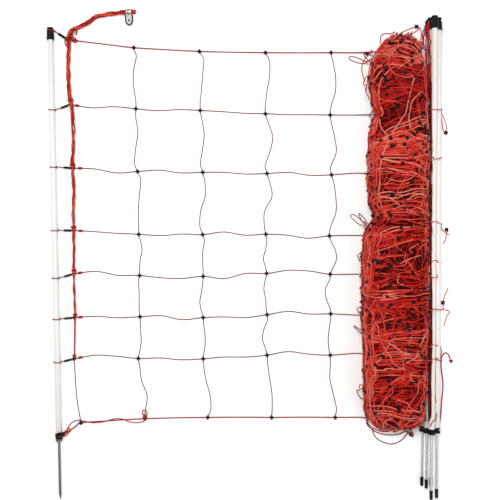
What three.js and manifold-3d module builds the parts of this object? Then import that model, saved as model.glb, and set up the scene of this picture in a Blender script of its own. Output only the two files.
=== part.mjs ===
// Electric sheep netting, lying on a level floor as it is put down: one end post with a stretch of
// open mesh, and the rest of the net gathered beside a stack of its other posts.
// Millimetres. +X runs along the net from the end post, +Y up the posts, +Z up from the floor.
// The origin is under the middle of the netting, on the floor, its loose cords left aside.
import * as THREE from "three";
import { mergeVertices } from "three/addons/utils/BufferGeometryUtils.js";
import Module from "manifold-3d";

const wasm = await Module();
wasm.setup();

// Clearances
const FIT = 0.3; // between a piece and what it sits in or on
const LOOP_FIT = 0.45; // between a many-sided loop of twine and the round it goes about

// Twine
const LINE_RADIUS = 1.4; // the six inner conductors
const EDGE_LINE_RADIUS = 1.7; // the stouter top and bottom conductors
const STAY_RADIUS = 1.25;
const TWINE_SIDES = 4;
const JOINT_RADIUS = 4.2; // moulded joint at each crossing
const JOINT_HOLE_FIT = 0.8; // between a conductor and its hole through a joint

// Net
const LINE_HEIGHTS = [0, 150, 250, 350, 450, 600, 750, 900]; // above the bottom conductor
const FIRST_STAY = 192; // from the end post's foot to the first whole stay
const STAY_SPACING = 155;
const STAY_COUNT = 4;
const STACK_DISTANCE = 242; // from the last stay to the front post of the stack

// Posts
const TUBE_RADIUS = 7.25;
const TUBE_WALL = 1.5;
const TUBE_LENGTH = 968;
const TUBE_SIDES = 12;
const CAP_RADIUS = 8.5;
const CAP_FLANGE_RADIUS = 9.2;
const CAP_SOCKET = 18; // how far the tube goes into its cap
const CAP_NECK_RADIUS = 6;
const CAP_NECK = 5;
const CAP_KNOB = 4;
const CAP_KNOB_RADIUS = 7.6;
const CAP_ROOF = 2.5;
const FLANGE_THICKNESS = 3;
const FOOT_FLANGE = 5; // the foot's lower flange
const FOOT_RADIUS = 8.3;
const FOOT_WAIST_RADIUS = 5.6;
const FOOT_WAIST = 5;
const FOOT_SPIGOT = 30; // how far the foot goes up into the tube
const SPIKE_RADIUS = 3;
const SPIKE_SIDES = 8;
const SPIKE_LENGTH = 180;
const SPIKE_POINT = 12;
const TIP_CAP_RADIUS = 4.2;
const TIP_CAP_LENGTH = 22;
const TIP_CAP_END = 2.5;
const RING_RADIUS = 8.5; // step ring that hangs loose on the end post's spike
const RING_HOLE_RADIUS = 4.1;
const RING_THICKNESS = 1.5;
const RING_TILT = 17; // degrees

// End post: its axis leans from foot to top
const END_POST_TILT = 1.23; // degrees
const END_POST_FOOT_Y = -35; // the tube's lower end
const END_SPIKE_OUT = 146; // what shows of the spike under the foot

// Insulating sleeves on the lines beside the end post
const SLEEVE_RADIUS = 2.8;
const SLEEVE_LENGTH = 18;
const SLEEVE_FROM_JOINT = 1.5;

// Connecting lead: the conductors' ends twisted together, thicker at each line that joins
const LEAD_BOTTOM_RADIUS = 2.4;
const LEAD_TOP_RADIUS = 6;
const LEAD_SIDES = 8;
const LEAD_OVERLAP = 10; // how far the lead starts under the second line

// Connecting clip: a crimped sleeve with a rimmed tag that has a hole
const CLIP_WALL = 0.9;
const CLIP_LENGTH = 13;
const TAG_WIDTH = 19;
const TAG_STRAIGHT = 13; // straight sides above the pointed end
const TAG_POINT = 12;
const TAG_THICKNESS = 1;
const TAG_RIM = 2.6;
const TAG_RIM_HEIGHT = 3;
const TAG_HOLE_RADIUS = 1.6;
const TAG_HOLE_DROP = 9;

// Loose tail of the bottom conductor, with its knot
const TAIL_RADIUS = 1.7;
const TAIL_SIDES = 8;
const KNOT_RADIUS = 5;

// Gathered net
const BUNDLE_SIDES = 16;
const BUNDLE_RINGS = 84;
const FOLD_SPACING = 46; // from one gathered fold to the next
const FOLD_DEPTH = 5; // of the hollow between two folds
const FOLD_SLANT = 0.22; // how far a fold wanders, as a share of the spacing
const BUNDLE_SQUARENESS = 0.78; // 1 is an ellipse, smaller is boxier
const BUNDLE_SAG = 0.16; // share of its height that the floor flattens
const BUNDLE_FIT = 0.4;
const POST_ROOM_SIDES = 8;

const netHeight = LINE_HEIGHTS.at(-1);
const tubeBore = TUBE_RADIUS - TUBE_WALL;
const footBelow = FLANGE_THICKNESS + FOOT_WAIST + FOOT_FLANGE; // the foot's height under the tube
const loopReach = TUBE_RADIUS + LOOP_FIT + 2 * LINE_RADIUS;
const postRest = Math.max(CAP_FLANGE_RADIUS, FOOT_RADIUS, loopReach, RING_RADIUS + 1);
const stackX = FIRST_STAY + (STAY_COUNT - 1) * STAY_SPACING + STACK_DISTANCE;

// A joint is six-sided, with its upper face flat
const jointTop = JOINT_RADIUS * (1 + Math.sin(Math.PI / 3) * Math.cos(Math.PI / 6));

const degrees = THREE.MathUtils.degToRad;
const vector = (x, y, z) => new THREE.Vector3(x, y, z);

// Materials
const finish = (color, roughness, metalness) =>
  new THREE.MeshStandardMaterial({ color, roughness, metalness });
const WHITE_PLASTIC = finish(0xf1f0ea, 0.35, 0);
const BLACK_PLASTIC = finish(0x17181a, 0.5, 0);
const RED_TWINE = finish(0xc5281c, 0.6, 0);
const ZINC_STEEL = finish(0xaeb3b5, 0.38, 0.9);
const DARK_STEEL = finish(0x4c4e54, 0.45, 0.85);
const BRIGHT_STEEL = finish(0xc9ccce, 0.22, 1);

// Solids
function solidOf(geometry) {
  const bare = geometry.clone();
  bare.deleteAttribute("normal");
  bare.deleteAttribute("uv");
  const merged = mergeVertices(bare, 1e-4);
  return new wasm.Manifold(
    new wasm.Mesh({
      numProp: 3,
      vertProperties: new Float32Array(merged.attributes.position.array),
      triVerts: new Uint32Array(merged.index.array),
    }),
  );
}

function geometryOf(solid) {
  const made = solid.getMesh();
  return new THREE.BufferGeometry()
    .setAttribute("position", new THREE.BufferAttribute(made.vertProperties, 3))
    .setIndex(new THREE.BufferAttribute(made.triVerts, 1));
}

function meshOf(name, shape, material) {
  const geometry = shape.isBufferGeometry ? shape : geometryOf(shape);
  const mesh = new THREE.Mesh(geometry, material);
  mesh.name = name;
  return mesh;
}

// Round section with the given sides, for a tube
function roundSection(radius, sides) {
  const points = [];
  for (let i = 0; i < sides; i += 1) {
    const angle = (2 * Math.PI * i) / sides;
    points.push(new THREE.Vector2(radius * Math.cos(angle), radius * Math.sin(angle)));
  }
  return new THREE.Shape(points);
}

// A smooth curve that a tube steps along from point to point, so that it meets each point exactly
class SteppedCurve extends THREE.CatmullRomCurve3 {
  getPointAt(u, target) {
    return this.getPoint(u, target);
  }
  getTangentAt(u, target) {
    return this.getTangent(u, target);
  }
  getSpacedPoints(divisions) {
    return this.getPoints(divisions);
  }
}

function tubeAlong(points, radius, sides = TWINE_SIDES, perStretch = 1) {
  return new THREE.ExtrudeGeometry(roundSection(radius, sides), {
    steps: (points.length - 1) * perStretch,
    extrudePath: new SteppedCurve(points),
    bevelEnabled: false,
  });
}

// A turned piece about +Y from its closed profile of [radius, height] corners
function turned(profile, sides) {
  const corners = profile.map(([radius, height]) => new THREE.Vector2(radius, height));
  return new THREE.LatheGeometry([...corners, corners[0]], sides);
}

// Posts. A post's own frame has +Y up the tube from the tube's lower end, on the post's axis.
const capBottom = TUBE_LENGTH - CAP_SOCKET;
const capShoulder = TUBE_LENGTH + FIT + CAP_ROOF;
const capNeckMiddle = capShoulder + CAP_NECK / 2;
const capTop = capShoulder + CAP_NECK + CAP_KNOB;
const footWaistMiddle = -FLANGE_THICKNESS - FOOT_WAIST / 2;

function tubeShape() {
  return turned(
    [
      [tubeBore, 0],
      [TUBE_RADIUS, 0],
      [TUBE_RADIUS, TUBE_LENGTH],
      [tubeBore, TUBE_LENGTH],
    ],
    TUBE_SIDES,
  );
}

function capShape() {
  return turned(
    [
      [0, TUBE_LENGTH + FIT],
      [TUBE_RADIUS + FIT, TUBE_LENGTH + FIT],
      [TUBE_RADIUS + FIT, capBottom],
      [CAP_FLANGE_RADIUS, capBottom],
      [CAP_FLANGE_RADIUS, capBottom + FLANGE_THICKNESS],
      [CAP_RADIUS, capBottom + FLANGE_THICKNESS],
      [CAP_RADIUS, capShoulder],
      [CAP_NECK_RADIUS, capShoulder],
      [CAP_NECK_RADIUS, capShoulder + CAP_NECK],
      [CAP_KNOB_RADIUS, capShoulder + CAP_NECK],
      [CAP_KNOB_RADIUS, capTop],
      [0, capTop],
    ],
    TUBE_SIDES,
  );
}

function footShape() {
  const bore = SPIKE_RADIUS + FIT;
  return turned(
    [
      [bore, -footBelow],
      [FOOT_RADIUS, -footBelow],
      [FOOT_RADIUS, -FLANGE_THICKNESS - FOOT_WAIST],
      [FOOT_WAIST_RADIUS, -FLANGE_THICKNESS - FOOT_WAIST],
      [FOOT_WAIST_RADIUS, -FLANGE_THICKNESS],
      [FOOT_RADIUS, -FLANGE_THICKNESS],
      [FOOT_RADIUS, -FIT],
      [tubeBore - FIT, -FIT],
      [tubeBore - FIT, FOOT_SPIGOT],
      [bore, FOOT_SPIGOT],
    ],
    TUBE_SIDES,
  );
}

function spikeShape(out) {
  const tip = -footBelow - out;
  return turned(
    [
      [0, tip],
      [SPIKE_RADIUS, tip + SPIKE_POINT],
      [SPIKE_RADIUS, tip + SPIKE_LENGTH],
      [0, tip + SPIKE_LENGTH],
    ],
    SPIKE_SIDES,
  );
}

function tipCapShape(out) {
  const end = -footBelow - out - FIT - TIP_CAP_END;
  const bore = SPIKE_RADIUS + FIT;
  return turned(
    [
      [0, end],
      [TIP_CAP_RADIUS, end],
      [TIP_CAP_RADIUS, end + TIP_CAP_LENGTH],
      [bore, end + TIP_CAP_LENGTH],
      [bore, end + TIP_CAP_END],
      [0, end + TIP_CAP_END],
    ],
    SPIKE_SIDES,
  );
}

function stepRing(spikeOut) {
  const shape = turned(
    [
      [RING_HOLE_RADIUS, -RING_THICKNESS / 2],
      [RING_RADIUS, -RING_THICKNESS / 2],
      [RING_RADIUS, RING_THICKNESS / 2],
      [RING_HOLE_RADIUS, RING_THICKNESS / 2],
    ],
    TUBE_SIDES,
  );
  const ring = meshOf("end_post_step_ring", shape, ZINC_STEEL);
  const drop = RING_RADIUS * Math.sin(degrees(RING_TILT)) + RING_THICKNESS / 2 + FIT;
  ring.position.set(-0.4, -footBelow - Math.min(drop, spikeOut), -0.4);
  ring.rotation.x = degrees(RING_TILT);
  return ring;
}

// One post with its pieces. capped says whether the spike's tip has its protecting cap.
function makePost(name, { foot, top, height, spikeOut, capped }) {
  const post = new THREE.Group();
  const length = capTop - footWaistMiddle;
  post.position.set(foot[0], foot[1], height);
  post.rotation.z = Math.asin((foot[0] - top) / length);
  post.add(
    meshOf(name + "_tube", tubeShape(), WHITE_PLASTIC),
    meshOf(name + "_cap", capShape(), BLACK_PLASTIC),
    meshOf(name + "_foot", footShape(), BLACK_PLASTIC),
    meshOf(name + "_spike", spikeShape(spikeOut), capped ? ZINC_STEEL : DARK_STEEL),
  );
  if (capped) post.add(meshOf(name + "_tip_cap", tipCapShape(spikeOut), BLACK_PLASTIC));
  post.updateMatrixWorld(true);
  return post;
}

const endPost = makePost("end_post", {
  foot: [0, END_POST_FOOT_Y],
  top: -Math.sin(degrees(END_POST_TILT)) * (capTop - footWaistMiddle),
  height: postRest,
  spikeOut: END_SPIKE_OUT,
  capped: false,
});
endPost.add(stepRing(END_SPIKE_OUT));

// The stack of the other posts: two on the floor, two on top of them, and the front post on those.
// foot and top say where each axis lies across the net, from the end of the gathered net.
const STACK_FOOT_Y = -17; // the tubes' lower ends
const STACK_RISE = 2 * CAP_FLANGE_RADIUS + FIT; // from one post's axis to that of a post on it
const FRONT_TOP = 1;
const LEFT_TOP = -5;
const RIGHT_TOP = LEFT_TOP + STACK_RISE + 0.1;
const FRONT_RISE = Math.sqrt(STACK_RISE ** 2 - (FRONT_TOP - LEFT_TOP) ** 2);
const STACK_POSTS = [
  { name: "stack_post_1", foot: -6.8, top: FRONT_TOP, rise: STACK_RISE + FRONT_RISE, spikeOut: 152 },
  { name: "stack_post_2", foot: -14.5, top: LEFT_TOP, rise: STACK_RISE, spikeOut: 130 },
  { name: "stack_post_3", foot: -20.5, top: LEFT_TOP, rise: 0, spikeOut: 129 },
  { name: "stack_post_4", foot: 9.5, top: RIGHT_TOP, rise: STACK_RISE, spikeOut: 153 },
  { name: "stack_post_5", foot: 1.3, top: RIGHT_TOP, rise: 0, spikeOut: 132 },
];
const stackPosts = STACK_POSTS.map(({ name, foot, top, rise, spikeOut }) =>
  makePost(name, {
    foot: [stackX + foot, STACK_FOOT_Y],
    top: stackX + top,
    height: postRest + rise,
    spikeOut,
    capped: true,
  }),
);

// What a post takes up with a margin about it, for cutting the room it needs into the net
function postRoom(post, margin) {
  const reach = (radius) => (radius + margin) / Math.cos(Math.PI / POST_ROOM_SIDES);
  const shape = turned(
    [
      [0, -footBelow - margin],
      [reach(FOOT_RADIUS), -footBelow - margin],
      [reach(FOOT_RADIUS), margin],
      [reach(TUBE_RADIUS), margin],
      [reach(TUBE_RADIUS), capBottom - margin],
      [reach(CAP_FLANGE_RADIUS), capBottom - margin],
      [reach(CAP_FLANGE_RADIUS), capTop + margin],
      [0, capTop + margin],
    ],
    POST_ROOM_SIDES,
  );
  return solidOf(shape.applyMatrix4(post.matrixWorld));
}

// Gathered net. Each station says how far up the net it is, as a share of the net's height, how far
// the gathered net reaches from the posts' stack, and how high it lies.
const BUNDLE_STATIONS = [
  { up: -0.028, left: -132, right: -48, high: 46 },
  { up: 0.0, left: -158, right: -22, high: 98 },
  { up: 0.037, left: -172, right: -19, high: 120 },
  { up: 0.133, left: -176, right: -16, high: 131 },
  { up: 0.296, left: -179, right: -13, high: 134 },
  { up: 0.444, left: -177, right: -12, high: 130 },
  { up: 0.514, left: -167, right: -12, high: 114 },
  { up: 0.535, left: -146, right: -12, high: 101 },
  { up: 0.56, left: -157, right: -12, high: 112 },
  { up: 0.62, left: -164, right: -12, high: 122 },
  { up: 0.7, left: -164, right: -12, high: 126 },
  { up: 0.785, left: -155, right: -13, high: 112 },
  { up: 0.809, left: -143, right: -14, high: 98 },
  { up: 0.83, left: -151, right: -15, high: 108 },
  { up: 0.9, left: -160, right: -18, high: 121 },
  { up: 0.955, left: -149, right: -25, high: 112 },
  { up: 0.99, left: -134, right: -31, high: 92 },
  { up: 1.012, left: -116, right: -38, high: 68 },
  { up: 1.024, left: -98, right: -46, high: 44 },
];
const bundleEdge = (key) =>
  new THREE.CatmullRomCurve3(
    BUNDLE_STATIONS.map((station) => vector(station.up * netHeight, station[key], 0)),
    false,
    "centripetal",
  );
const bundleLeft = bundleEdge("left");
const bundleRight = bundleEdge("right");
const bundleHigh = bundleEdge("high");

// The gathered net's outer shape, grown all round by margin
function bundleSolid(margin) {
  const form = new THREE.CylinderGeometry(1, 1, 1, BUNDLE_SIDES, BUNDLE_RINGS);
  const at = form.attributes.position;
  const rounded = (value) => Math.sign(value) * Math.abs(value) ** BUNDLE_SQUARENESS;
  for (let i = 0; i < at.count; i += 1) {
    const share = THREE.MathUtils.clamp(at.getY(i) + 0.5, 0, 1);
    const left = bundleLeft.getPoint(share);
    const right = bundleRight.getPoint(share).y;
    const high = bundleHigh.getPoint(share).y;
    const drop = high * BUNDLE_SAG;
    const turn = Math.atan2(at.getX(i), at.getZ(i));
    const slant = Math.sin(2 * turn + left.x / FOLD_SPACING);
    const fold = Math.cos(2 * Math.PI * (left.x / FOLD_SPACING + FOLD_SLANT * slant));
    const hollow = (FOLD_DEPTH * (1 + fold)) / 2;
    const across = (right - left.y) / 2 + margin - hollow;
    const up = (high + drop) / 2 + margin - hollow;
    const x = stackX + (left.y + right) / 2 + across * rounded(at.getX(i));
    const z = (high - drop) / 2 + up * rounded(at.getZ(i));
    const beyond = (share > 0.999 ? margin : 0) - (share < 0.001 ? margin : 0);
    at.setXYZ(i, x, left.x + beyond, Math.max(z, -margin));
  }
  return solidOf(form);
}

const bundleRoom = bundleSolid(BUNDLE_FIT);

// Conductors. drift moves each joint from its place on the even net, as [along, up]; wave lifts the
// line at a third and two thirds of each stretch; start is the height of its loop on the end post.
const LINES = [
  {
    edge: [52, -11],
    drift: [[15, -1], [12, 2], [12, 2], [11, 2]],
    wave: [[0, 0], [0, 0], [0, 0], [0, 0], [0, 0]],
  },
  {
    edge: [35, -6],
    drift: [[-1, -5], [1, -6], [1, 3], [-1, 3]],
    wave: [[8, 5], [1, -3], [1, -2], [8, 2], [4, 0]],
  },
  {
    edge: [36, -6],
    drift: [[3, -4], [1, -6], [1, 1], [0, 3]],
    wave: [[2, -2], [3, -6], [-1, -5], [7, 0], [-3, 0]],
  },
  {
    edge: [35, 0],
    drift: [[2, -4], [1, -6], [0, 1], [-1, -1]],
    wave: [[7, -1], [-5, -6], [-8, 2], [8, 7], [0, 0]],
  },
  {
    edge: [35, 5],
    drift: [[0, -4], [0, -5], [-2, -4], [-3, -8]],
    wave: [[0, -1], [-3, 1], [6, -2], [-1, -7], [1, 0]],
  },
  {
    edge: [34, 6],
    drift: [[-3, -2], [0, -4], [1, -7], [2, -10]],
    wave: [[1, -6], [4, -2], [1, -2], [4, -2], [4, 0]],
  },
  {
    edge: [26, 10],
    drift: [[-7, 0], [-6, -4], [-3, -12], [-1, -15]],
    wave: [[-4, 2], [-3, 1], [0, -1], [-1, 0], [0, 0]],
  },
  {
    edge: [18, 18],
    drift: [[-12, -2], [-8, -11], [-3, -14], [1, -14]],
    wave: [[0, 0], [0, 0], [0, 0], [0, 0], [0, 0]],
  },
];
const LOOP_RISE = [0, -13, -9, -10, 5, 8, -4, 0]; // of each loop on the end post, from its line's height
const BUNDLE_ENTRY = 15; // height at which a line goes into the gathered net
const BUNDLE_ENTRY_DEPTH = 60;

const isEdgeLine = (line) => line === 0 || line === LINES.length - 1;
const radiusOfLine = (line) => (isEdgeLine(line) ? EDGE_LINE_RADIUS : LINE_RADIUS);

// Where line and stay number meet: stay 0 is the net's end stay and the others are the whole ones
function jointPlace(line, stay) {
  const height = LINE_HEIGHTS[line];
  if (stay === 0) {
    const [along, up] = LINES[line].edge;
    return vector(along, height + up, JOINT_RADIUS);
  }
  const [along, up] = LINES[line].drift[stay - 1] ?? LINES[line].drift.at(-1);
  return vector(FIRST_STAY + (stay - 1) * STAY_SPACING + along, height + up, JOINT_RADIUS);
}

const WAVE_SHARES = [1 / 3, 2 / 3]; // of the stretch between two joints

// The points between two joints, where the twine bows aside and comes down to the floor
function bowed(from, to, { bows, shares, radius, aside }) {
  return bows.map((bow, i) => {
    const point = from.clone().lerp(to, shares[i]);
    point[aside] += bow;
    point.z = radius + 0.05;
    return point;
  });
}

// The loop that a line ends in, about the post, the neck of its cap or the waist of its foot
function loopPlace(line) {
  const [reach, along] =
    line === 0
      ? [FOOT_WAIST_RADIUS, footWaistMiddle]
      : line === LINES.length - 1
        ? [CAP_NECK_RADIUS, capNeckMiddle]
        : [TUBE_RADIUS, LINE_HEIGHTS[line] + LOOP_RISE[line] - END_POST_FOOT_Y];
  const radius = reach + LOOP_FIT + radiusOfLine(line);
  return { radius, middle: vector(0, along, 0), start: vector(radius, along, 0) };
}

function lineRoute(line) {
  const start = endPost.localToWorld(loopPlace(line).start);
  const joints = [];
  for (let stay = 0; stay <= STAY_COUNT; stay += 1) joints.push(jointPlace(line, stay));
  const route = [start];
  for (const share of [0.25, 0.5, 0.75]) route.push(start.clone().lerp(joints[0], share));
  route.push(joints[0]);
  for (let stay = 1; stay <= STAY_COUNT; stay += 1) {
    const bows = LINES[line].wave[stay - 1] ?? [0, 0];
    const stretch = { bows, shares: WAVE_SHARES, radius: radiusOfLine(line), aside: "y" };
    route.push(...bowed(joints[stay - 1], joints[stay], stretch), joints[stay]);
  }
  const last = joints.at(-1);
  const entry = vector(stackX - STACK_DISTANCE + 2 * BUNDLE_ENTRY_DEPTH, last.y, BUNDLE_ENTRY);
  const middle = last.clone().lerp(entry, 0.5);
  middle.y += LINES[line].wave[4][0];
  middle.z = radiusOfLine(line) + 1;
  route.push(middle, entry);
  return route;
}

// The straight hole that a line takes through a stay's joint
function holeInJoint(line, stay) {
  const route = lineRoute(line);
  const place = jointPlace(line, stay);
  const share = route.findIndex((point) => point.equals(place)) / (route.length - 1);
  const along = new SteppedCurve(route).getTangent(share);
  const width = 2 * (radiusOfLine(line) + JOINT_HOLE_FIT);
  const hole = new THREE.BoxGeometry(3 * JOINT_RADIUS, width, width);
  hole.applyQuaternion(new THREE.Quaternion().setFromUnitVectors(vector(1, 0, 0), along));
  return solidOf(hole.translate(...place.toArray()));
}

function makeLine(line) {
  const radius = radiusOfLine(line);
  const loop = loopPlace(line);
  const ring = new THREE.TorusGeometry(loop.radius, radius, TWINE_SIDES, TUBE_SIDES);
  ring.rotateX(Math.PI / 2);
  ring.translate(...loop.middle.toArray());
  ring.applyMatrix4(endPost.matrixWorld);
  const solid = solidOf(ring)
    .add(solidOf(tubeAlong(lineRoute(line), radius)))
    .subtract(bundleRoom);
  return meshOf("line_" + (line + 1), solid, RED_TWINE);
}

// Insulating sleeve on a line, between the end stay's joint and the post
function makeSleeve(line) {
  const start = endPost.localToWorld(loopPlace(line).start);
  const joint = jointPlace(line, 0);
  const toPost = start.sub(joint).normalize();
  const bore = radiusOfLine(line) + FIT + 0.1;
  const shape = turned(
    [
      [bore, -SLEEVE_LENGTH / 2],
      [Math.max(SLEEVE_RADIUS, bore + 1), -SLEEVE_LENGTH / 2],
      [Math.max(SLEEVE_RADIUS, bore + 1), SLEEVE_LENGTH / 2],
      [bore, SLEEVE_LENGTH / 2],
    ],
    8,
  );
  const sleeve = meshOf("sleeve_" + (line + 1), shape, BLACK_PLASTIC);
  const away = JOINT_RADIUS + SLEEVE_FROM_JOINT + SLEEVE_LENGTH / 2;
  sleeve.position.copy(joint.addScaledVector(toPost, away));
  sleeve.quaternion.setFromUnitVectors(vector(0, 1, 0), toPost);
  return sleeve;
}

// Stays. Each stretch between two joints bows aside by so much at the BOW_SHARES of its length.
// A row is one stay with its stretches from the bottom up, and the end stay comes first.
const BOW_SHARES = [0.14, 0.38, 0.62, 0.86];
const STRAIGHT = [0, 0, 0, 0];
const STAY_BOWS = [
  [[-2, -4, -3, -1], STRAIGHT, STRAIGHT, STRAIGHT, STRAIGHT, STRAIGHT, STRAIGHT],
  [[3, 11, 2, 1], [2, 5, 3, 1], [-2, -2, -2, -3], [0, 2, 7, 3], [0, 0, 3, 7], [-7, -3, 3, -1],
    [0, -4, -3, 5]],
  [[9, 10, 3, 0], [2, 5, 4, 1], [-4, -8, -4, -1], [0, -1, 0, 4], [-7, -5, 6, 5], [-5, 2, 7, 3],
    [0, 4, 7, 10]],
  [[3, 5, 2, 0], [-3, -11, -8, 1], [-2, -3, -7, -3], [-2, -7, -1, 2], [-4, -4, 13, 7],
    [-4, 9, 16, 6], [0, 4, 10, 10]],
  [[5, 0, -5, -1], [-3, -5, -3, 0], [-1, -10, -12, -1], [6, 16, 14, 4], [2, 14, 13, 7],
    [-1, 13, 10, 3], [2, 12, 12, 5]],
];

function makeStay(stay) {
  const route = [jointPlace(0, stay)];
  for (let line = 1; line < LINES.length; line += 1) {
    const bows = (STAY_BOWS[stay] ?? STAY_BOWS.at(-1))[line - 1];
    const [from, to] = [jointPlace(line - 1, stay), jointPlace(line, stay)];
    const stretch = { bows, shares: BOW_SHARES, radius: STAY_RADIUS, aside: "x" };
    route.push(...bowed(from, to, stretch), to);
  }
  let solid = solidOf(tubeAlong(route, STAY_RADIUS));
  LINES.forEach((_, line) => {
    const joint = new THREE.SphereGeometry(JOINT_RADIUS, 6, 3);
    joint.translate(...jointPlace(line, stay).toArray());
    solid = solid.add(solidOf(joint)).subtract(holeInJoint(line, stay));
  });
  return meshOf(stay === 0 ? "end_stay" : "stay_" + stay, solid, RED_TWINE);
}

// Connecting lead. Its route lies on the end stay's joints, and then it comes off the net's corner.
const leadAside = [1.5, 3, 3, 1, 1, 1, 0, 1, -2, 2, 4, -1, 2, 6]; // from the end stay, bottom to top

function leadHeld() {
  const form = new THREE.CylinderGeometry(1, 1, 1, LEAD_SIDES, 2 * (leadAside.length - 1));
  const stays = LINES.map((_, line) => jointPlace(line, 0)).slice(1);
  const stay = new SteppedCurve(stays);
  const bottom = stays[0].y - LEAD_OVERLAP;
  const top = stays.at(-1).y;
  const aside = new THREE.SplineCurve(leadAside.map((x, i) => new THREE.Vector2(x, i)));
  const at = form.attributes.position;
  for (let i = 0; i < at.count; i += 1) {
    const share = THREE.MathUtils.clamp(at.getY(i) + 0.5, 0, 1);
    const radius = THREE.MathUtils.lerp(LEAD_BOTTOM_RADIUS, LEAD_TOP_RADIUS, share);
    const x = stay.getPoint(share).x + aside.getPoint(share).x + radius * at.getX(i);
    const z = jointTop + FIT + radius * (1 + at.getZ(i));
    at.setXYZ(i, x, THREE.MathUtils.lerp(bottom, top, share), z);
  }
  return form;
}

// The free end of the lead: from the net's top corner over the floor to the clip
const leadCorner = jointPlace(LINES.length - 1, 0);
const LEAD_ROUTE = [
  [6, 0.8, jointTop + FIT],
  [6.4, 7.5, jointTop + FIT - 0.1],
  [9.5, 15, 6.6],
  [15.5, 21.5, 5],
  [24, 26.5, 3.4],
  [34, 30.5, 2.2],
  [44, 35, 1.4],
  [53, 41, 1],
  [61, 47.5, 0.8],
  [70, 53, 0.8],
  [81, 57, 0.9],
  [93, 59.3, 1],
  [106, 61, 1.2],
  [119, 62.6, CLIP_WALL + FIT + 0.1],
  [133, 64.2, CLIP_WALL + FIT + 0.1],
  [150, 65.6, CLIP_WALL + FIT + 0.1],
  [167, 66, CLIP_WALL + FIT + 0.1],
].map(([x, y, under]) => vector(leadCorner.x + x, leadCorner.y + y, under + LEAD_TOP_RADIUS));
const CLIP_AT = 15 / 16; // share of the free lead's points

function clipShape(radius) {
  const bore = radius + FIT;
  const reach = bore + CLIP_WALL;
  const sleeve = turned(
    [
      [bore, -CLIP_LENGTH / 2],
      [reach, -CLIP_LENGTH / 2],
      [reach, CLIP_LENGTH / 2],
      [bore, CLIP_LENGTH / 2],
    ],
    TUBE_SIDES,
  ).rotateZ(Math.PI / 2);
  const outline = (inset) => {
    const half = TAG_WIDTH / 2 - inset;
    const end = -reach - TAG_STRAIGHT - TAG_POINT + inset;
    const tag = new THREE.Shape();
    tag.moveTo(-half, -reach + CLIP_WALL / 2 - inset);
    tag.lineTo(-half, -reach - TAG_STRAIGHT);
    tag.quadraticCurveTo(-half, end + TAG_POINT / 3, -half / 3, end);
    tag.lineTo(half / 3, end);
    tag.quadraticCurveTo(half, end + TAG_POINT / 3, half, -reach - TAG_STRAIGHT);
    tag.lineTo(half, -reach + CLIP_WALL / 2 - inset);
    tag.closePath();
    return tag;
  };
  const raised = (shape, from, to) => {
    const made = new THREE.ExtrudeGeometry(shape, {
      depth: to - from,
      bevelEnabled: false,
      curveSegments: 5,
    });
    return solidOf(made.translate(0, 0, from));
  };
  const hole = new THREE.CylinderGeometry(TAG_HOLE_RADIUS, TAG_HOLE_RADIUS, 10, 10)
    .rotateX(Math.PI / 2)
    .translate(0, -reach - TAG_HOLE_DROP, 0);
  const rim = raised(outline(0), -TAG_RIM_HEIGHT / 2, TAG_RIM_HEIGHT / 2).subtract(
    raised(outline(TAG_RIM), -TAG_RIM_HEIGHT, TAG_RIM_HEIGHT),
  );
  const plate = raised(outline(TAG_RIM / 2), -TAG_THICKNESS / 2, TAG_THICKNESS / 2);
  const bar = new THREE.BoxGeometry(TAG_WIDTH, CLIP_WALL * 2, TAG_RIM_HEIGHT).translate(0, -reach, 0);
  const wires = new THREE.CylinderGeometry(bore, bore, 2 * TAG_WIDTH, TUBE_SIDES).rotateZ(Math.PI / 2);
  return solidOf(sleeve)
    .add(rim)
    .add(plate)
    .add(solidOf(bar))
    .subtract(solidOf(wires))
    .subtract(solidOf(hole));
}

function makeLeadAndClip() {
  const curve = new SteppedCurve(LEAD_ROUTE);
  const place = curve.getPoint(CLIP_AT);
  const along = curve.getTangent(CLIP_AT);
  const clip = meshOf("connection_clip", clipShape(LEAD_TOP_RADIUS), BRIGHT_STEEL);
  clip.position.copy(place);
  clip.rotation.z = Math.atan2(along.y, along.x);
  const lead = meshOf(
    "lead_free_end",
    tubeAlong(LEAD_ROUTE, LEAD_TOP_RADIUS, LEAD_SIDES),
    RED_TWINE,
  );
  return [lead, clip];
}

// The bottom conductor's loose tail, from the front post's foot round to its knot, on the floor
const tailPost = STACK_POSTS.at(-1);
const tailStart = tailPost.foot + FOOT_RADIUS + FIT;
const tailStartY = STACK_FOOT_Y - footBelow + FOOT_FLANGE / 2;
const TAIL_ROUTE = [
  [tailStart, tailStartY, postRest - TAIL_RADIUS],
  [tailStart + 3.2, tailStartY + 0.6, 7.2],
  [tailStart + 7.2, tailStartY + 5, 3.1],
  [tailStart + 12, tailStartY + 14, 0.7],
  [25, 4, 0.1],
  [26.5, 22, 0.1],
  [28, 45, 0.1],
  [30.4, 68, 0.1],
  [30.4, 90, 0.1],
  [27.8, 111, 0.1],
  [25.8, 129, 0.1],
  [26.8, 144, 0.1],
  [31, 154, 0.1],
  [37.8, 158, 0.1],
  [44.2, 153.5, 0.1],
  [47.6, 144, 0.1],
].map(([x, y, under]) => vector(stackX + x, y, under + TAIL_RADIUS));

function makeTail() {
  const tail = meshOf("tail_cord", tubeAlong(TAIL_ROUTE, TAIL_RADIUS, TAIL_SIDES, 3), RED_TWINE);
  const knot = meshOf("tail_knot", new THREE.SphereGeometry(KNOT_RADIUS, 8, 6), RED_TWINE);
  const away = TAIL_ROUTE.at(-1).clone().sub(TAIL_ROUTE.at(-2)).normalize();
  knot.position.copy(TAIL_ROUTE.at(-1)).addScaledVector(away, KNOT_RADIUS + FIT);
  knot.position.z = KNOT_RADIUS;
  return [tail, knot];
}

// The whole part
const netting = new THREE.Group();
const looseCords = new THREE.Group();

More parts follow.
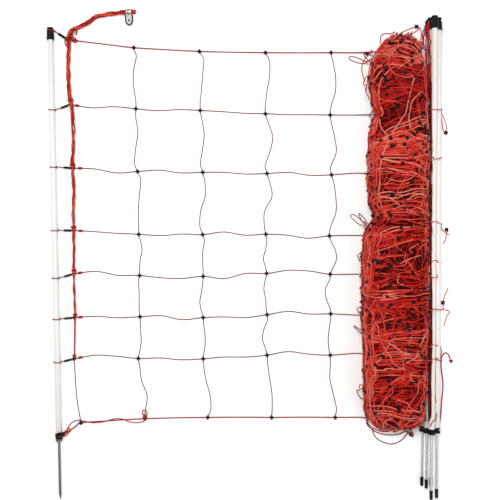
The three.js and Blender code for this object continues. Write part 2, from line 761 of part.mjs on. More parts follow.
let bundle = bundleSolid(0);
for (const post of stackPosts) bundle = bundle.subtract(postRoom(post, BUNDLE_FIT));

netting.add(endPost, ...stackPosts, meshOf("gathered_net", bundle, RED_TWINE));
LINES.forEach((_, line) => {
  netting.add(makeLine(line));
  if (line > 0) netting.add(makeSleeve(line));
});
for (let stay = 0; stay <= STAY_COUNT; stay += 1) netting.add(makeStay(stay));
netting.add(meshOf("lead_held", leadHeld(), RED_TWINE));
looseCords.add(...makeLeadAndClip(), ...makeTail());

const room = new THREE.Box3().setFromObject(netting, true);
const middle = room.getCenter(vector(0, 0, 0));
const part = new THREE.Group();
part.add(netting, looseCords);
part.position.set(-middle.x, -middle.y, -room.min.z);

export default part;
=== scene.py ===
"""Electric sheep netting lying on a pale floor, seen from above. Metres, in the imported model's frame.

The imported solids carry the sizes: posts, strands and joints are read from them, and each is dressed
with twisted twine, moulded plastic or galvanised steel. The gathered net is laid strand by strand over
its solid's outer shape. Everything random comes from seeded generators.
"""
import math

import bpy
import numpy as np
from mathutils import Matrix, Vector
from mathutils.bvhtree import BVHTree


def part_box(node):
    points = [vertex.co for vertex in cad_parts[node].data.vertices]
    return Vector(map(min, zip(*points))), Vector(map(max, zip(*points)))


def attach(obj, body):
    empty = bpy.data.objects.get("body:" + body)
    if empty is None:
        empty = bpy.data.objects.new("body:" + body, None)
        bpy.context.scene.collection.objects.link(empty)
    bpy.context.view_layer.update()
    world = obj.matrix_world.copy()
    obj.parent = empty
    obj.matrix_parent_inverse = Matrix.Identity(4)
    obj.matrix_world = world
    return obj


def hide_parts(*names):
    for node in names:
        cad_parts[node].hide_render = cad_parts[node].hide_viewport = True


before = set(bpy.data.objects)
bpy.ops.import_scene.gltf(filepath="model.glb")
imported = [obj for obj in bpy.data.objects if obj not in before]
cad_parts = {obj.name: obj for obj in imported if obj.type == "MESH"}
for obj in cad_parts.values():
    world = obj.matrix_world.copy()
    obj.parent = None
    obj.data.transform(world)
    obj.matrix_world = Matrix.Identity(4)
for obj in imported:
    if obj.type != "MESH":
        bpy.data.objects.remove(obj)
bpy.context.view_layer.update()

# Sizes
TWINE_RADIUS = 0.0013
EDGE_TWINE_RADIUS = 0.0016
STAY_RADIUS = 0.0012
FOLD_RADIUS = 0.0014
JOINT_LENGTH = 0.0104
JOINT_RADIUS = 0.0039
LEAD_RADIUS = 0.006
LEAD_STRAND_RADIUS = 0.0017
LEAD_TURN = 0.085  # length of one turn of the strands twisted together
BUNDLE_REACH = (0, 1, 1.155, 1.41, 1.7, 2.0, 2.3)  # of 1 to 7 strands, in strand radii
LEAD_STRAND_TONES = (0.6, 0.95, 0.4, 0.8, 0.5, 1.0, 0.35)
CLIP_LENGTH = 0.013
CLIP_BORE = 0.0063
CLIP_WALL = 0.0009
TAIL_RADIUS = 0.0017
KNOT_RADIUS = 0.005
KNOT_STRAND_RADIUS = 0.0015
FOOT_SLEEVE_RADIUS = 0.002
ROUND_SIDES = 40
TWINE_LAY = 0.0135  # length of one turn of a strand's three twisted ends
TWINE_ROUGHNESS = 0.4
TWINE_GLOSS = 0.14
FLOOR_GAP = 0.0002
PATH_STEP = 0.002
UP = np.array([0, 0, 1.0])
DOWN = Vector((0, 0, -1))
STRAND_CORNERS = 8  # of a plain strand's cross-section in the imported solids

# Posts
TUBE_OUTER = 0.00725
TUBE_INNER = 0.00575
TUBE_CHAMFER = 0.0005
CAP_BORE = 0.00755
CAP_FLANGE = 0.0092
CAP_NECK = 0.0061
CAP_DEPTH = 0.018  # how far a cap reaches down over its tube
CAP_RISE = 0.0118
FOOT_FLANGE = 0.0083
FOOT_WAIST = 0.0056
FOOT_PLUG = 0.0054
FOOT_INSIDE = 0.028
FOOT_BELOW = 0.013
SPIKE_RADIUS = 0.003
SPIKE_BORE = 0.0033
SPIKE_POINT = 0.012
TIP_CAP_RADIUS = 0.0042

# Short wraps of twine
WRAP_RADIUS = 0.0011
WRAP_POINTS = 40
WRAP_LENGTH = 0.009
WRAP_TURNS = 3.6
WRAP_REACH = 0.0024
LEAD_WRAP_LENGTH = 0.0055
LEAD_WRAP_TURNS = 2.2
WRAP_PAST_JOINT = 0.016
WRAP_ABOVE_JOINT = 0.008
WRAP_REACH_LIMIT = 0.0064

# Clip's tag
TAG_WIDTH = 0.0185
TAG_HALF_THICKNESS = 0.0005
TAG_HOLE_RADIUS = 0.0016
TAG_HOLE_FROM_END = 0.0115
TAG_RIM_RADIUS = 0.0018
TAG_RIM_INSET = 0.0012
EYELET_REACH = 0.0021
EYELET_RADIUS = 0.0009

# Gathered net
WAVES = 5  # in the heading of a strand that wanders
CORE_DEPTH = 0.0105  # of the core under the strands, painted near-black as shade
RIPPLE = 0.0012  # of a strand's depth along its length
END_TUCK = 0.004
LOWEST_ANGLE = -0.65  # strands stay between this and the same on the other side
MEAN_REACH = 0.072  # from the gathered net's middle line to its outside

# The photograph: its middle lies over this point of the net, and a pixel is this wide there
PHOTO_PIXELS = 500
PIXEL = 0.002423
PHOTO_CENTRE = (0.0161, 0.0232)
NET_HEIGHT = 0.004
CAMERA_HEIGHT = 2.0
SENSOR = 36.0

LINES = range(1, 9)
EDGE_LINES = (1, 8)
SLEEVED_LINES = range(2, 9)
STAYS = ["end_stay", "stay_1", "stay_2", "stay_3", "stay_4"]
STACK = ["stack_post_%d" % i for i in range(1, 6)]
POSTS = ["end_post", *STACK]

# Routes of the two loose cords
LEAD_ROUTE = [
    (-0.421559, 0.534367, 0.01365),
    (-0.421159, 0.541067, 0.01355),
    (-0.418059, 0.548567, 0.01260),
    (-0.412059, 0.555067, 0.01100),
    (-0.403559, 0.560067, 0.00940),
    (-0.393559, 0.564067, 0.00820),
    (-0.383559, 0.568567, 0.00740),
    (-0.374559, 0.574567, 0.00700),
    (-0.366559, 0.581067, 0.00680),
    (-0.357559, 0.586567, 0.00680),
    (-0.346559, 0.590567, 0.00690),
    (-0.334559, 0.592867, 0.00700),
    (-0.321559, 0.594567, 0.00720),
    (-0.308559, 0.596167, 0.00730),
    (-0.294559, 0.597767, 0.00730),
    (-0.277559, 0.599167, 0.00730),
    (-0.260559, 0.599567, 0.00730),
]
TAIL_ROUTE = [
    (0.463341, -0.411933, 0.01050),
    (0.466541, -0.411333, 0.00890),
    (0.470541, -0.406933, 0.00480),
    (0.475341, -0.397933, 0.00240),
    (0.478441, -0.380433, 0.00180),
    (0.479941, -0.362433, 0.00180),
    (0.481441, -0.339433, 0.00180),
    (0.483841, -0.316433, 0.00180),
    (0.483841, -0.294433, 0.00180),
    (0.481241, -0.273433, 0.00180),
    (0.479241, -0.255433, 0.00180),
    (0.480241, -0.240433, 0.00180),
    (0.484441, -0.230433, 0.00180),
    (0.491241, -0.226433, 0.00180),
    (0.497641, -0.230933, 0.00180),
    (0.501041, -0.240433, 0.00180),
]


def at_pixel(px, py, height=0.002):
    """The point at a height that the photograph shows at a pixel."""
    spread = (CAMERA_HEIGHT - height) / (CAMERA_HEIGHT - NET_HEIGHT)
    x = PHOTO_CENTRE[0] + (px - PHOTO_PIXELS / 2) * PIXEL * spread
    y = PHOTO_CENTRE[1] + (PHOTO_PIXELS / 2 - py) * PIXEL * spread
    return (x, y, height)


def make_camera():
    data = bpy.data.cameras.new("camera")
    data.sensor_width = SENSOR
    data.lens = SENSOR * (CAMERA_HEIGHT - NET_HEIGHT) / (PHOTO_PIXELS * PIXEL)
    camera = bpy.data.objects.new("camera", data)
    camera.location = (*PHOTO_CENTRE, CAMERA_HEIGHT)
    bpy.context.scene.collection.objects.link(camera)
    bpy.context.scene.camera = camera
    bpy.context.scene.view_settings.view_transform = "Standard"


# Shader nodes


class Shading:
    """A material's node tree, with short ways to add and join its nodes."""

    def __init__(self, name):
        self.material = bpy.data.materials.new(name)
        self.material.use_nodes = True
        self.tree = self.material.node_tree
        self.surface = self.tree.nodes["Principled BSDF"]

    def feed(self, socket, value):
        """Joins another node's output to a socket, or gives the socket a value."""
        if isinstance(value, bpy.types.NodeSocket):
            self.tree.links.new(value, socket)
        else:
            socket.default_value = value

    def node(self, kind, values=None, **settings):
        node = self.tree.nodes.new("ShaderNode" + kind)
        for key, value in settings.items():
            setattr(node, key, value)
        for key, value in (values or {}).items():
            self.feed(node.inputs[key], value)
        return node

    def math(self, operation, first, second=0.0, third=0.0):
        values = {0: first, 1: second, 2: third}
        return self.node("Math", values, operation=operation).outputs[0]

    def set(self, **values):
        for key, value in values.items():
            self.feed(self.surface.inputs[key.replace("_", " ")], value)

    def place(self):
        return self.node("TexCoord").outputs["Object"]

    def noise(self, scale, detail=3.0, where=None, roughness=0.55):
        values = {"Scale": scale, "Detail": detail, "Roughness": roughness}
        values["Vector"] = where or self.place()
        return self.node("TexNoise", values).outputs["Fac"]

    def ramp(self, amount, stops):
        node = self.node("ValToRGB", {"Fac": amount})
        ramp = node.color_ramp
        while len(ramp.elements) < len(stops):
            ramp.elements.new(0.5)
        for element, (position, color) in zip(ramp.elements, stops):
            element.position = position
            element.color = (*color, 1.0)
        return node.outputs["Color"]

    def blend(self, amount, first, second):
        node = self.node("Mix", data_type="RGBA", blend_type="MIX")
        for index, value in zip((0, 6, 7), (amount, first, second)):
            plain = isinstance(value, (float, bpy.types.NodeSocket))
            self.feed(node.inputs[index], value if plain else (*value, 1.0))
        return node.outputs[2]

    def bump(self, height, strength, distance):
        values = {"Height": height, "Strength": strength, "Distance": distance}
        self.set(Normal=self.node("Bump", values).outputs["Normal"])


def twine_material(name, tones, groove_shade):
    """Twisted plastic twine: each strand has its own tone, and painted shade darkens the grooves that
    wind round it.
    """
    shading = Shading(name)
    tone = shading.node("Attribute", attribute_name="tone").outputs["Fac"]
    along = shading.node("SeparateXYZ", {0: shading.node("UVMap", uv_map="strand").outputs[0]})
    turns = shading.math("MULTIPLY_ADD", along.outputs["X"], 1 / TWINE_LAY, along.outputs["Y"])
    wave = shading.math("SINE", shading.math("MULTIPLY", turns, 2 * math.pi * 3))
    ridge = shading.math("MULTIPLY_ADD", wave, 0.5, 0.5)
    fine = shading.noise(900.0, 2.0)
    drift = shading.noise(38.0, 2.0)
    amount = shading.math("MULTIPLY_ADD", drift, 0.5, shading.math("SUBTRACT", tone, 0.25))
    color = shading.ramp(amount, tones)
    # Painted shade: the colour darkens toward the groove colour in the grooves between the twisted ends.
    shaded = shading.math("MULTIPLY_ADD", ridge, -0.55, 0.55)
    color = shading.blend(shaded, color, groove_shade)
    shading.set(Base_Color=color, Roughness=TWINE_ROUGHNESS, Specular_IOR_Level=TWINE_GLOSS)
    shading.bump(shading.math("MULTIPLY_ADD", fine, 0.25, ridge), 0.6, 0.0005)
    return shading.material


def plastic_material(name, color, worn, roughness, gloss):
    shading = Shading(name)
    cloud = shading.noise(26.0, 4.0)
    scuffs = shading.node("TexNoise", {"Vector": shading.place(), "Scale": 210.0, "Detail": 5.0})
    marks = shading.ramp(scuffs.outputs["Fac"], [(0.56, (0, 0, 0)), (0.72, (1, 1, 1))])
    shade = shading.blend(cloud, color, worn)
    shading.set(Base_Color=shading.blend(marks, shade, worn))
    rough = shading.math("MULTIPLY_ADD", scuffs.outputs["Fac"], 0.25, roughness - 0.1)
    shading.set(Roughness=rough, Specular_IOR_Level=gloss)
    shading.bump(scuffs.outputs["Fac"], 0.12, 0.0004)
    return shading.material


def steel_material(name, bright, dull, roughness):
    """Galvanised steel, drawn along +Y, with dull zinc flecks."""
    shading = Shading(name)
    mapping = shading.node("Mapping", {"Vector": shading.place(), "Scale": (900.0, 12.0, 900.0)})
    streaks = shading.noise(1.0, 4.0, mapping.outputs["Vector"])
    flecks = shading.noise(300.0, 3.0)
    amount = shading.math("MULTIPLY_ADD", flecks, 0.6, shading.math("MULTIPLY", streaks, 0.4))
    color = shading.ramp(amount, [(0.36, dull), (0.62, bright)])
    shading.set(Base_Color=color, Metallic=0.92)
    shading.set(Roughness=shading.math("MULTIPLY_ADD", streaks, 0.3, roughness - 0.1))
    shading.bump(streaks, 0.2, 0.0002)
    return shading.material


def shade_core_material(name):
    """Painted shade for the gathered net's inside: deep strands drawn near-black and dark red, as they
    look in shadow.
    """
    shading = Shading(name)
    stretched = shading.node("Mapping", {"Vector": shading.place(), "Scale": (60.0, 330.0, 160.0)})
    strands = shading.noise(1.0, 4.0, stretched.outputs["Vector"])
    # Near-black to dark red: painted shade, darker than the twine's own red.
    color = shading.ramp(strands, [(0.42, (0.012, 0.0004, 0.0004)), (0.66, (0.11, 0.002, 0.002))])
    shading.set(Base_Color=color, Roughness=0.8, Specular_IOR_Level=0.04)
    shading.bump(strands, 0.8, 0.003)
    return shading.material


# From near-black, painted shade for the deepest strands, through the twine's own red to pale salmon,
# painted highlights on the outermost strands.
RED_SHADE_TO_HIGHLIGHT_TONES = [
    (0.0, (0.05, 0.0006, 0.0006)),
    (0.3, (0.32, 0.004, 0.003)),
    (0.58, (0.79, 0.020, 0.010)),
    (0.84, (0.86, 0.095, 0.060)),
    (1.0, (0.93, 0.300, 0.205)),
]
# The lightest stop is partly painted highlight for the lead's bright specks; the lower stops are the
# twine's own red.
LEAD_TONES = [
    (0.0, (0.05, 0.001, 0.001)),
    (0.35, (0.42, 0.008, 0.005)),
    (0.7, (0.64, 0.020, 0.011)),
    (1.0, (0.78, 0.105, 0.038)),
]
PANEL_TONES = [(0.0, (0.05, 0.016, 0.014)), (0.45, (0.20, 0.036, 0.030)), (1.0, (0.42, 0.085, 0.066))]
EDGE_TONES = [(0.0, (0.10, 0.010, 0.010)), (0.5, (0.36, 0.026, 0.024)), (1.0, (0.60, 0.060, 0.044))]

# Each material's last colour is the painted shade in its twist grooves.
FOLD_TWINE = twine_material("gathered_twine", RED_SHADE_TO_HIGHLIGHT_TONES, (0.13, 0.002, 0.002))
LEAD_TWINE = twine_material("lead_twine", LEAD_TONES, (0.12, 0.002, 0.002))
LINE_TWINE = twine_material("line_twine", PANEL_TONES, (0.04, 0.008, 0.008))
EDGE_TWINE = twine_material("edge_twine", EDGE_TONES, (0.08, 0.008, 0.008))
SHADE_CORE = shade_core_material("gathered_shade_core")
WHITE = plastic_material("white_pvc", (0.86, 0.855, 0.835), (0.76, 0.75, 0.71), 0.34, 0.5)
BLACK = plastic_material("black_plastic", (0.004, 0.004, 0.0045), (0.012, 0.012, 0.013), 0.46, 0.12)
ZINC = steel_material("galvanised_steel", (0.72, 0.735, 0.74), (0.42, 0.43, 0.44), 0.36)
DARK_STEEL = steel_material("dulled_steel", (0.27, 0.275, 0.29), (0.11, 0.112, 0.12), 0.42)
BRIGHT = steel_material("bright_steel", (0.70, 0.705, 0.71), (0.46, 0.465, 0.475), 0.3)
# Near-black and not metallic: painted shade for the dark line along the tag's rolled steel rim and
# eyelet, in place of the steel's own grey.
RIM_SHADE = plastic_material("rim_painted_shade", (0.012, 0.012, 0.013), (0.045, 0.046, 0.05), 0.5, 0.2)
PLATE = steel_material("plate_steel", (0.44, 0.445, 0.45), (0.30, 0.305, 0.31), 0.5)
BRASS = steel_material("brass", (0.78, 0.55, 0.26), (0.52, 0.34, 0.14), 0.32)


# Meshes


def link_piece(name, mesh):
    """A piece of the visual model, from its mesh."""
    piece = bpy.data.objects.new(name, mesh)
    bpy.context.scene.collection.objects.link(piece)
    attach(piece, "root")
    return piece


def add_piece(name, vertices, faces, material, slot, smooth=True):
    mesh = bpy.data.meshes.new(name)
    mesh.from_pydata([tuple(map(float, v)) for v in vertices], [], faces)
    mesh.materials.append(material)
    mesh.polygons.foreach_set("use_smooth", [smooth] * len(mesh.polygons))
    mesh.update()
    return link_piece(name, mesh)


def join_shapes(shapes):
    """Several (vertices, faces) as one."""
    vertices, faces = [], []
    for points, polygons in shapes:
        start = len(vertices)
        vertices.extend(map(tuple, points))
        faces.extend([tuple(start + i for i in polygon) for polygon in polygons])
    return vertices, faces


def unit(vectors):
    return vectors / np.linalg.norm(vectors, axis=-1, keepdims=True)


def lengths_along(points):
    """How far along a path each of its points lies."""
    steps = np.linalg.norm(np.diff(points, axis=0), axis=1)
    return np.concatenate([[0], np.cumsum(steps)])


def smooth_path(points, count):
    """count points evenly along a smooth curve through the given points."""
    points = np.asarray(points, float)
    ends = [2 * points[0] - points[1]], [2 * points[-1] - points[-2]]
    padded = np.concatenate([ends[0], points, ends[1]])
    fine = 24
    share = np.linspace(0, 1, fine, endpoint=False)[:, None]
    curve = []
    for i in range(1, len(padded) - 2):
        a, b, c, d = padded[i - 1 : i + 3]
        curve.append(
            0.5
            * (
                2 * b
                + (c - a) * share
                + (2 * a - 5 * b + 4 * c - d) * share**2
                + (3 * b - a - 3 * c + d) * share**3
            )
        )
    curve = np.concatenate([*curve, points[-1:]])
    length = lengths_along(curve)
    even = np.linspace(0, length[-1], count)
    return np.stack([np.interp(even, length, curve[:, k]) for k in range(3)], axis=1)


def path_length(points):
    return float(np.linalg.norm(np.diff(points, axis=0), axis=1).sum())


def side_vectors(paths):
    """Two vectors across each path at each point, carried along without twist. paths is (n, m, 3)."""
    along = unit(np.gradient(paths, axis=1))
    guide = np.where(np.abs(along[:, 0, 2:]) > 0.9, [[1.0, 0, 0]], [[0, 0, 1.0]])
    first = np.empty_like(paths)
    first[:, 0] = unit(np.cross(along[:, 0], guide))
    for i in range(1, paths.shape[1]):
        previous = first[:, i - 1]
        flat = previous - (previous * along[:, i]).sum(-1, keepdims=True) * along[:, i]
        first[:, i] = unit(flat)
    return first, np.cross(along, first)


def strand_mesh(name, paths, radius, sides, material, slot, tones=None, twisted=False, closed=False):
    """Tubes along paths, an array of (strands, points, 3). twisted cuts three grooves in each."""
    paths = np.asarray(paths, float)
    count, steps, _ = paths.shape
    across, up = side_vectors(paths)
    length = np.linalg.norm(np.diff(paths, axis=1), axis=2)
    along = np.concatenate([np.zeros((count, 1)), np.cumsum(length, axis=1)], axis=1)
    angles = np.arange(sides) * 2 * math.pi / sides
    radii = np.broadcast_to(np.asarray(radius, float), (count, steps)).copy()
    if not closed:
        radii[:, [0, -1]] *= 0.55
    reach = np.ones((count, steps, sides))
    if twisted:
        turned = angles[None, None] + 2 * math.pi * along[:, :, None] / TWINE_LAY
        reach = 0.72 + 0.28 * np.abs(np.cos(1.5 * turned))
    reach = (reach * radii[:, :, None])[..., None]
    around = (
        np.cos(angles)[:, None] * across[:, :, None] + np.sin(angles)[:, None] * up[:, :, None]
    )
    vertices = (paths[:, :, None] + reach * around).reshape(-1, 3)

    strand = np.arange(count)[:, None, None] * steps * sides
    ring = np.arange(steps - 1)[None, :, None] * sides
    side = np.arange(sides)[None, None]
    after = (side + 1) % sides
    corners = [ring + side, ring + sides + side, ring + sides + after, ring + after]
    quads = np.stack([strand + c for c in corners], axis=-1).reshape(-1, 4)
    u = np.stack([along[:, :-1], along[:, 1:], along[:, 1:], along[:, :-1]], axis=-1)
    u = np.broadcast_to(u[:, :, None], (count, steps - 1, sides, 4))
    v = np.stack([side, side, side + 1, side + 1], axis=-1) / sides
    v = np.broadcast_to(v, u.shape)
    uvs = np.stack([u, v], axis=-1).reshape(-1, 2)
    starts = np.arange(count)[:, None] * steps * sides
    first_caps = (starts + np.arange(sides)[None]).reshape(count, sides)
    last_caps = (starts + (steps - 1) * sides + np.arange(sides)[None, ::-1]).reshape(count, sides)
    caps = np.concatenate([first_caps, last_caps])

    mesh = bpy.data.meshes.new(name)
    mesh.vertices.add(len(vertices))
    mesh.vertices.foreach_set("co", vertices.ravel())
    loops = np.concatenate([quads.ravel(), caps.ravel()])
    sizes = np.concatenate([np.full(len(quads), 4), np.full(len(caps), sides)])
    mesh.loops.add(len(loops))
    mesh.loops.foreach_set("vertex_index", loops.astype(np.int32))
    mesh.polygons.add(len(sizes))
    loop_starts = np.concatenate([[0], np.cumsum(sizes)[:-1]])
    mesh.polygons.foreach_set("loop_start", loop_starts.astype(np.int32))
    mesh.update(calc_edges=True)
    layer = mesh.uv_layers.new(name="strand")
    cap_uvs = np.zeros((caps.size, 2))
    layer.uv.foreach_set("vector", np.concatenate([uvs, cap_uvs]).ravel())
    tones = np.full(count, 0.5) if tones is None else np.asarray(tones)
    attribute = mesh.attributes.new("tone", "FLOAT", "POINT")
    attribute.data.foreach_set("value", np.repeat(tones, steps * sides))
    mesh.polygons.foreach_set("use_smooth", [True] * len(mesh.polygons))
    mesh.materials.append(material)
    mesh.validate()
    return link_piece(name, mesh)


def turned_shape(profile, start, axis, sides=ROUND_SIDES):
    """A closed turned shape from a profile of (radius, distance along the axis), end to end."""
    axis = np.array(axis) / np.linalg.norm(axis)
    guide = UP if abs(axis[2]) < 0.9 else np.array([1.0, 0, 0])
    across = np.cross(axis, guide)
    across /= np.linalg.norm(across)
    up = np.cross(axis, across)
    vertices, rings = [], []
    for radius, distance in profile:
        middle = np.array(start) + axis * distance
        if radius < 1e-6:
            rings.append([len(vertices)])
            vertices.append(middle)
            continue
        rings.append(list(range(len(vertices), len(vertices) + sides)))
        for i in range(sides):
            angle = 2 * math.pi * i / sides
            vertices.append(middle + radius * (math.cos(angle) * across + math.sin(angle) * up))
    faces = []
    for low, high in zip(rings, rings[1:]):
        for i in range(sides):
            j = (i + 1) % sides
            if len(low) == 1:
                faces.append((low[0], high[j], high[i]))
            elif len(high) == 1:
                faces.append((low[i], low[j], high[0]))
            else:
                faces.append((low[i], low[j], high[j], high[i]))
    return vertices, faces


def turned_piece(name, node, shape, material, slot):
    """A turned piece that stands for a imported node."""
    piece = add_piece(name, *shape, material, slot)
    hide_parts(node)
    return piece


def rounded(profile, fillet, steps=4):
    """A profile with each inner corner rounded off."""
    points = [np.array(p, float) for p in profile]
    made = [tuple(points[0])]
    for before, corner, after in zip(points, points[1:], points[2:]):
        to_before, to_after = before - corner, after - corner
        lengths = np.linalg.norm(to_before), np.linalg.norm(to_after)
        cut = min(fillet, 0.45 * min(lengths))
        a = corner + to_before / lengths[0] * cut
        b = corner + to_after / lengths[1] * cut
        for i in range(steps + 1):
            t = i / steps
            made.append(tuple((1 - t) ** 2 * a + 2 * t * (1 - t) * corner + t**2 * b))
    made.append(tuple(points[-1]))
    return made


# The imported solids


def corners_of(node):
    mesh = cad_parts[node].data
    points = np.empty(len(mesh.vertices) * 3)
    mesh.vertices.foreach_get("co", points)
    return points.reshape(-1, 3)


def tree_of(node):
    """A node's surface, for finding what a ray meets."""
    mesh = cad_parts[node].data
    return BVHTree.FromPolygons([v.co for v in mesh.vertices], [p.vertices for p in mesh.polygons])


def axis_of(node):
    """The middles of the lowest and highest ends of a long round solid, along +Y."""
    points = corners_of(node)
    low, high = points[:, 1].min(), points[:, 1].max()
    ends = []
    for end in (low, high):
        close = points[np.abs(points[:, 1] - end) < 0.001]
        ends.append((close.min(0) + close.max(0)) / 2)
    return ends


def sections_of(node, axis, gap=0.0028):
    """Each cross-section's middle, in order along an axis, and how many corners it has."""
    points = corners_of(node)
    points = points[np.argsort(points[:, axis])]
    breaks = np.nonzero(np.diff(points[:, axis]) > gap)[0] + 1
    groups = np.split(points, breaks)
    return [((g.min(0) + g.max(0)) / 2, len(np.unique(g.round(6), axis=0))) for g in groups]


def assign(node, material):
    """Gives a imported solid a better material."""
    for slot in node.material_slots:
        slot.material = material


def span_of(node):
    """A long round solid's lower end, the unit vector up it and its length."""
    low, high = axis_of(node)
    length = np.linalg.norm(high - low)
    return low, (high - low) / length, length


# Posts


def make_tube(post):
    low, up, length = span_of(post + "_tube")
    outer, inner, chamfer = TUBE_OUTER, TUBE_INNER, TUBE_CHAMFER
    profile = [
        (inner, length / 2),
        (inner, chamfer),
        (inner + chamfer, 0),
        (outer - chamfer, 0),
        (outer, chamfer),
        (outer, length * 0.33),
        (outer, length * 0.66),
        (outer, length - chamfer),
        (outer - chamfer, length),
        (inner + chamfer, length),
        (inner, length - chamfer),
        (inner, length / 2),
    ]
    shape = turned_shape(profile, low, up)
    weld(turned_piece(post + "_pipe", post + "_tube", shape, WHITE, "white_plastic"))


def weld(piece):
    """Joins the corners that a closed profile repeats."""
    modifier = piece.modifiers.new("weld", "WELD")
    modifier.merge_threshold = 0.00001


def make_cap(post):
    low, up, length = span_of(post + "_tube")
    base = length - CAP_DEPTH
    top = length + CAP_RISE
    profile = [
        (0.0, length + 0.0003),
        (CAP_BORE, length + 0.0003),
        (CAP_BORE, base),
        (CAP_FLANGE, base),
        (CAP_FLANGE, base + 0.0032),
        (0.00865, base + 0.0045),
        (0.0083, length + 0.0018),
        (0.0063, length + 0.0032),
        (CAP_NECK, length + 0.0072),
        (0.0078, length + 0.0082),
        (0.0074, top),
        (0.0, top),
    ]
    shape = turned_shape(rounded(profile, 0.0006, 3), low, up)
    turned_piece(post + "_top", post + "_cap", shape, BLACK, "black_plastic")


def make_foot(post):
    low, up, _ = span_of(post + "_tube")
    profile = [
        (SPIKE_BORE, FOOT_INSIDE),
        (SPIKE_BORE, -FOOT_BELOW),
        (FOOT_FLANGE, -FOOT_BELOW),
        (FOOT_FLANGE, -0.0082),
        (FOOT_WAIST, -0.0076),
        (FOOT_WAIST, -0.0034),
        (FOOT_FLANGE, -0.003),
        (FOOT_FLANGE, -0.0003),
        (FOOT_PLUG, -0.0003),
        (FOOT_PLUG, FOOT_INSIDE),
        (SPIKE_BORE, FOOT_INSIDE),
    ]
    shape = turned_shape(rounded(profile, 0.0005, 2), low, up)
    weld(turned_piece(post + "_shoe", post + "_foot", shape, BLACK, "black_plastic"))


def make_spike(post):
    tip, up, length = span_of(post + "_spike")
    profile = [
        (0.0, 0.0),
        (0.0009, 0.0012),
        (SPIKE_RADIUS, SPIKE_POINT),
        (SPIKE_RADIUS, length * 0.5),
        (SPIKE_RADIUS, length),
        (0.0, length),
    ]
    shape = turned_shape(rounded(profile, 0.0006, 2), tip, up, 24)
    finish = (ZINC, "zinc_steel") if post in STACK else (DARK_STEEL, "dark_steel")
    turned_piece(post + "_pin", post + "_spike", shape, *finish)


def make_tip_cap(post):
    end, up, length = span_of(post + "_tip_cap")
    profile = [
        (0.0, 0.0),
        (0.0022, 0.0),
        (0.0038, 0.0016),
        (0.004, length * 0.6),
        (TIP_CAP_RADIUS, length - 0.004),
        (TIP_CAP_RADIUS, length),
        (SPIKE_BORE, length),
        (SPIKE_BORE, 0.0026),
        (0.0, 0.0026),
    ]
    shape = turned_shape(rounded(profile, 0.0006, 2), end, up, 24)
    turned_piece(post + "_tip_guard", post + "_tip_cap", shape, BLACK, "black_plastic")


def make_posts():
    for post in POSTS:
        make_tube(post)
        make_cap(post)
        make_foot(post)
        make_spike(post)
    for post in STACK:
        make_tip_cap(post)
    assign(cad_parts["end_post_step_ring"], ZINC)


# Open net


def line_radius(line):
    return EDGE_TWINE_RADIUS if line in EDGE_LINES else TWINE_RADIUS


def line_path(line):
    """A conductor's middle line: its loop round the end post, and on into the gathered net."""
    node = "line_%d" % line
    corners = corners_of(node)
    low, up, _ = span_of("end_post_tube")
    near = corners[corners[:, 0] < low[0] - 0.004]
    centre = low + up * (near.mean(0) - low).dot(up)
    radius = line_radius(line)
    reach = np.linalg.norm(corners[:, [0, 2]] - centre[[0, 2]], axis=1)
    ring = reach[corners[:, 0] < centre[0]].mean() - 0.0002
    across = np.cross(up, UP)
    loop = []
    for turn in np.linspace(-0.55, 2 * math.pi - 0.15, 22):
        rise = 0.0032 * (turn / (2 * math.pi) - 0.5)
        outward = math.cos(turn) * across + math.sin(turn) * UP
        point = centre + ring * outward + up * rise
        point[2] = max(point[2], radius + FLOOR_GAP)
        loop.append(point)
    sections = sections_of(node, 0)
    past = centre[0] + ring + 0.003
    points = [middle for middle, count in sections if count <= STRAND_CORNERS and middle[0] > past]
    points.append(sections[-1][0])
    into = points[-1] + np.array([0.03, 0, 0.004])
    return np.array([*loop, *points, into])


def stay_path(stay):
    """A stay's middle line, and the middles of its joints, from the bottom up."""
    sections = sections_of(stay, 1)
    joints = []
    for middle, corners in sections:
        if corners <= STRAND_CORNERS:
            continue
        if joints and abs(middle[1] - joints[-1][1]) < JOINT_LENGTH:
            joints[-1] = (joints[-1] + middle) / 2
        else:
            joints.append(middle)
    return np.array([middle for middle, _ in sections]), joints


def joint_shapes(middle, along, across, sides=14):
    """A moulded joint: a rounded body with a stub along each strand."""
    turn = np.linspace(-math.pi / 2, math.pi / 2, 9)
    body = [(JOINT_RADIUS * math.cos(t), JOINT_RADIUS * 1.1 * math.sin(t)) for t in turn]
    body[0], body[-1] = (0.0, body[0][1]), (0.0, body[-1][1])
    half, stub = JOINT_LENGTH / 2, JOINT_RADIUS * 0.5
    ends = [(0.0, -half), (stub * 0.8, -half), (stub, -half * 0.85)]
    ends += [(radius, -distance) for radius, distance in reversed(ends)]
    return [
        turned_shape(body, middle, along, sides),
        turned_shape(ends, middle, along, sides),
        turned_shape(ends, middle, across, sides),
    ]


def make_line(line):
    node = "line_%d" % line
    radius = line_radius(line)
    points = line_path(line)
    path = smooth_path(points, int(path_length(points) / PATH_STEP))
    material = EDGE_TWINE if line in EDGE_LINES else LINE_TWINE
    piece = strand_mesh(node + "_twine", [path], radius, 9, material, "red_twine", twisted=True)
    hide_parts(node)
    return path


def make_stay(stay):
    points, joints = stay_path(stay)
    path = smooth_path(points, int(path_length(points) / PATH_STEP))
    piece = strand_mesh(stay + "_twine", [path], STAY_RADIUS, 9, LINE_TWINE, "red_twine", twisted=True)
    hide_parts(stay)
    shapes = []
    for joint in joints:
        shapes.extend(joint_shapes(joint, (0, 1, 0), (1, 0, 0)))
    add_piece(stay + "_joints", *join_shapes(shapes), BLACK, "black_plastic")
    return joints


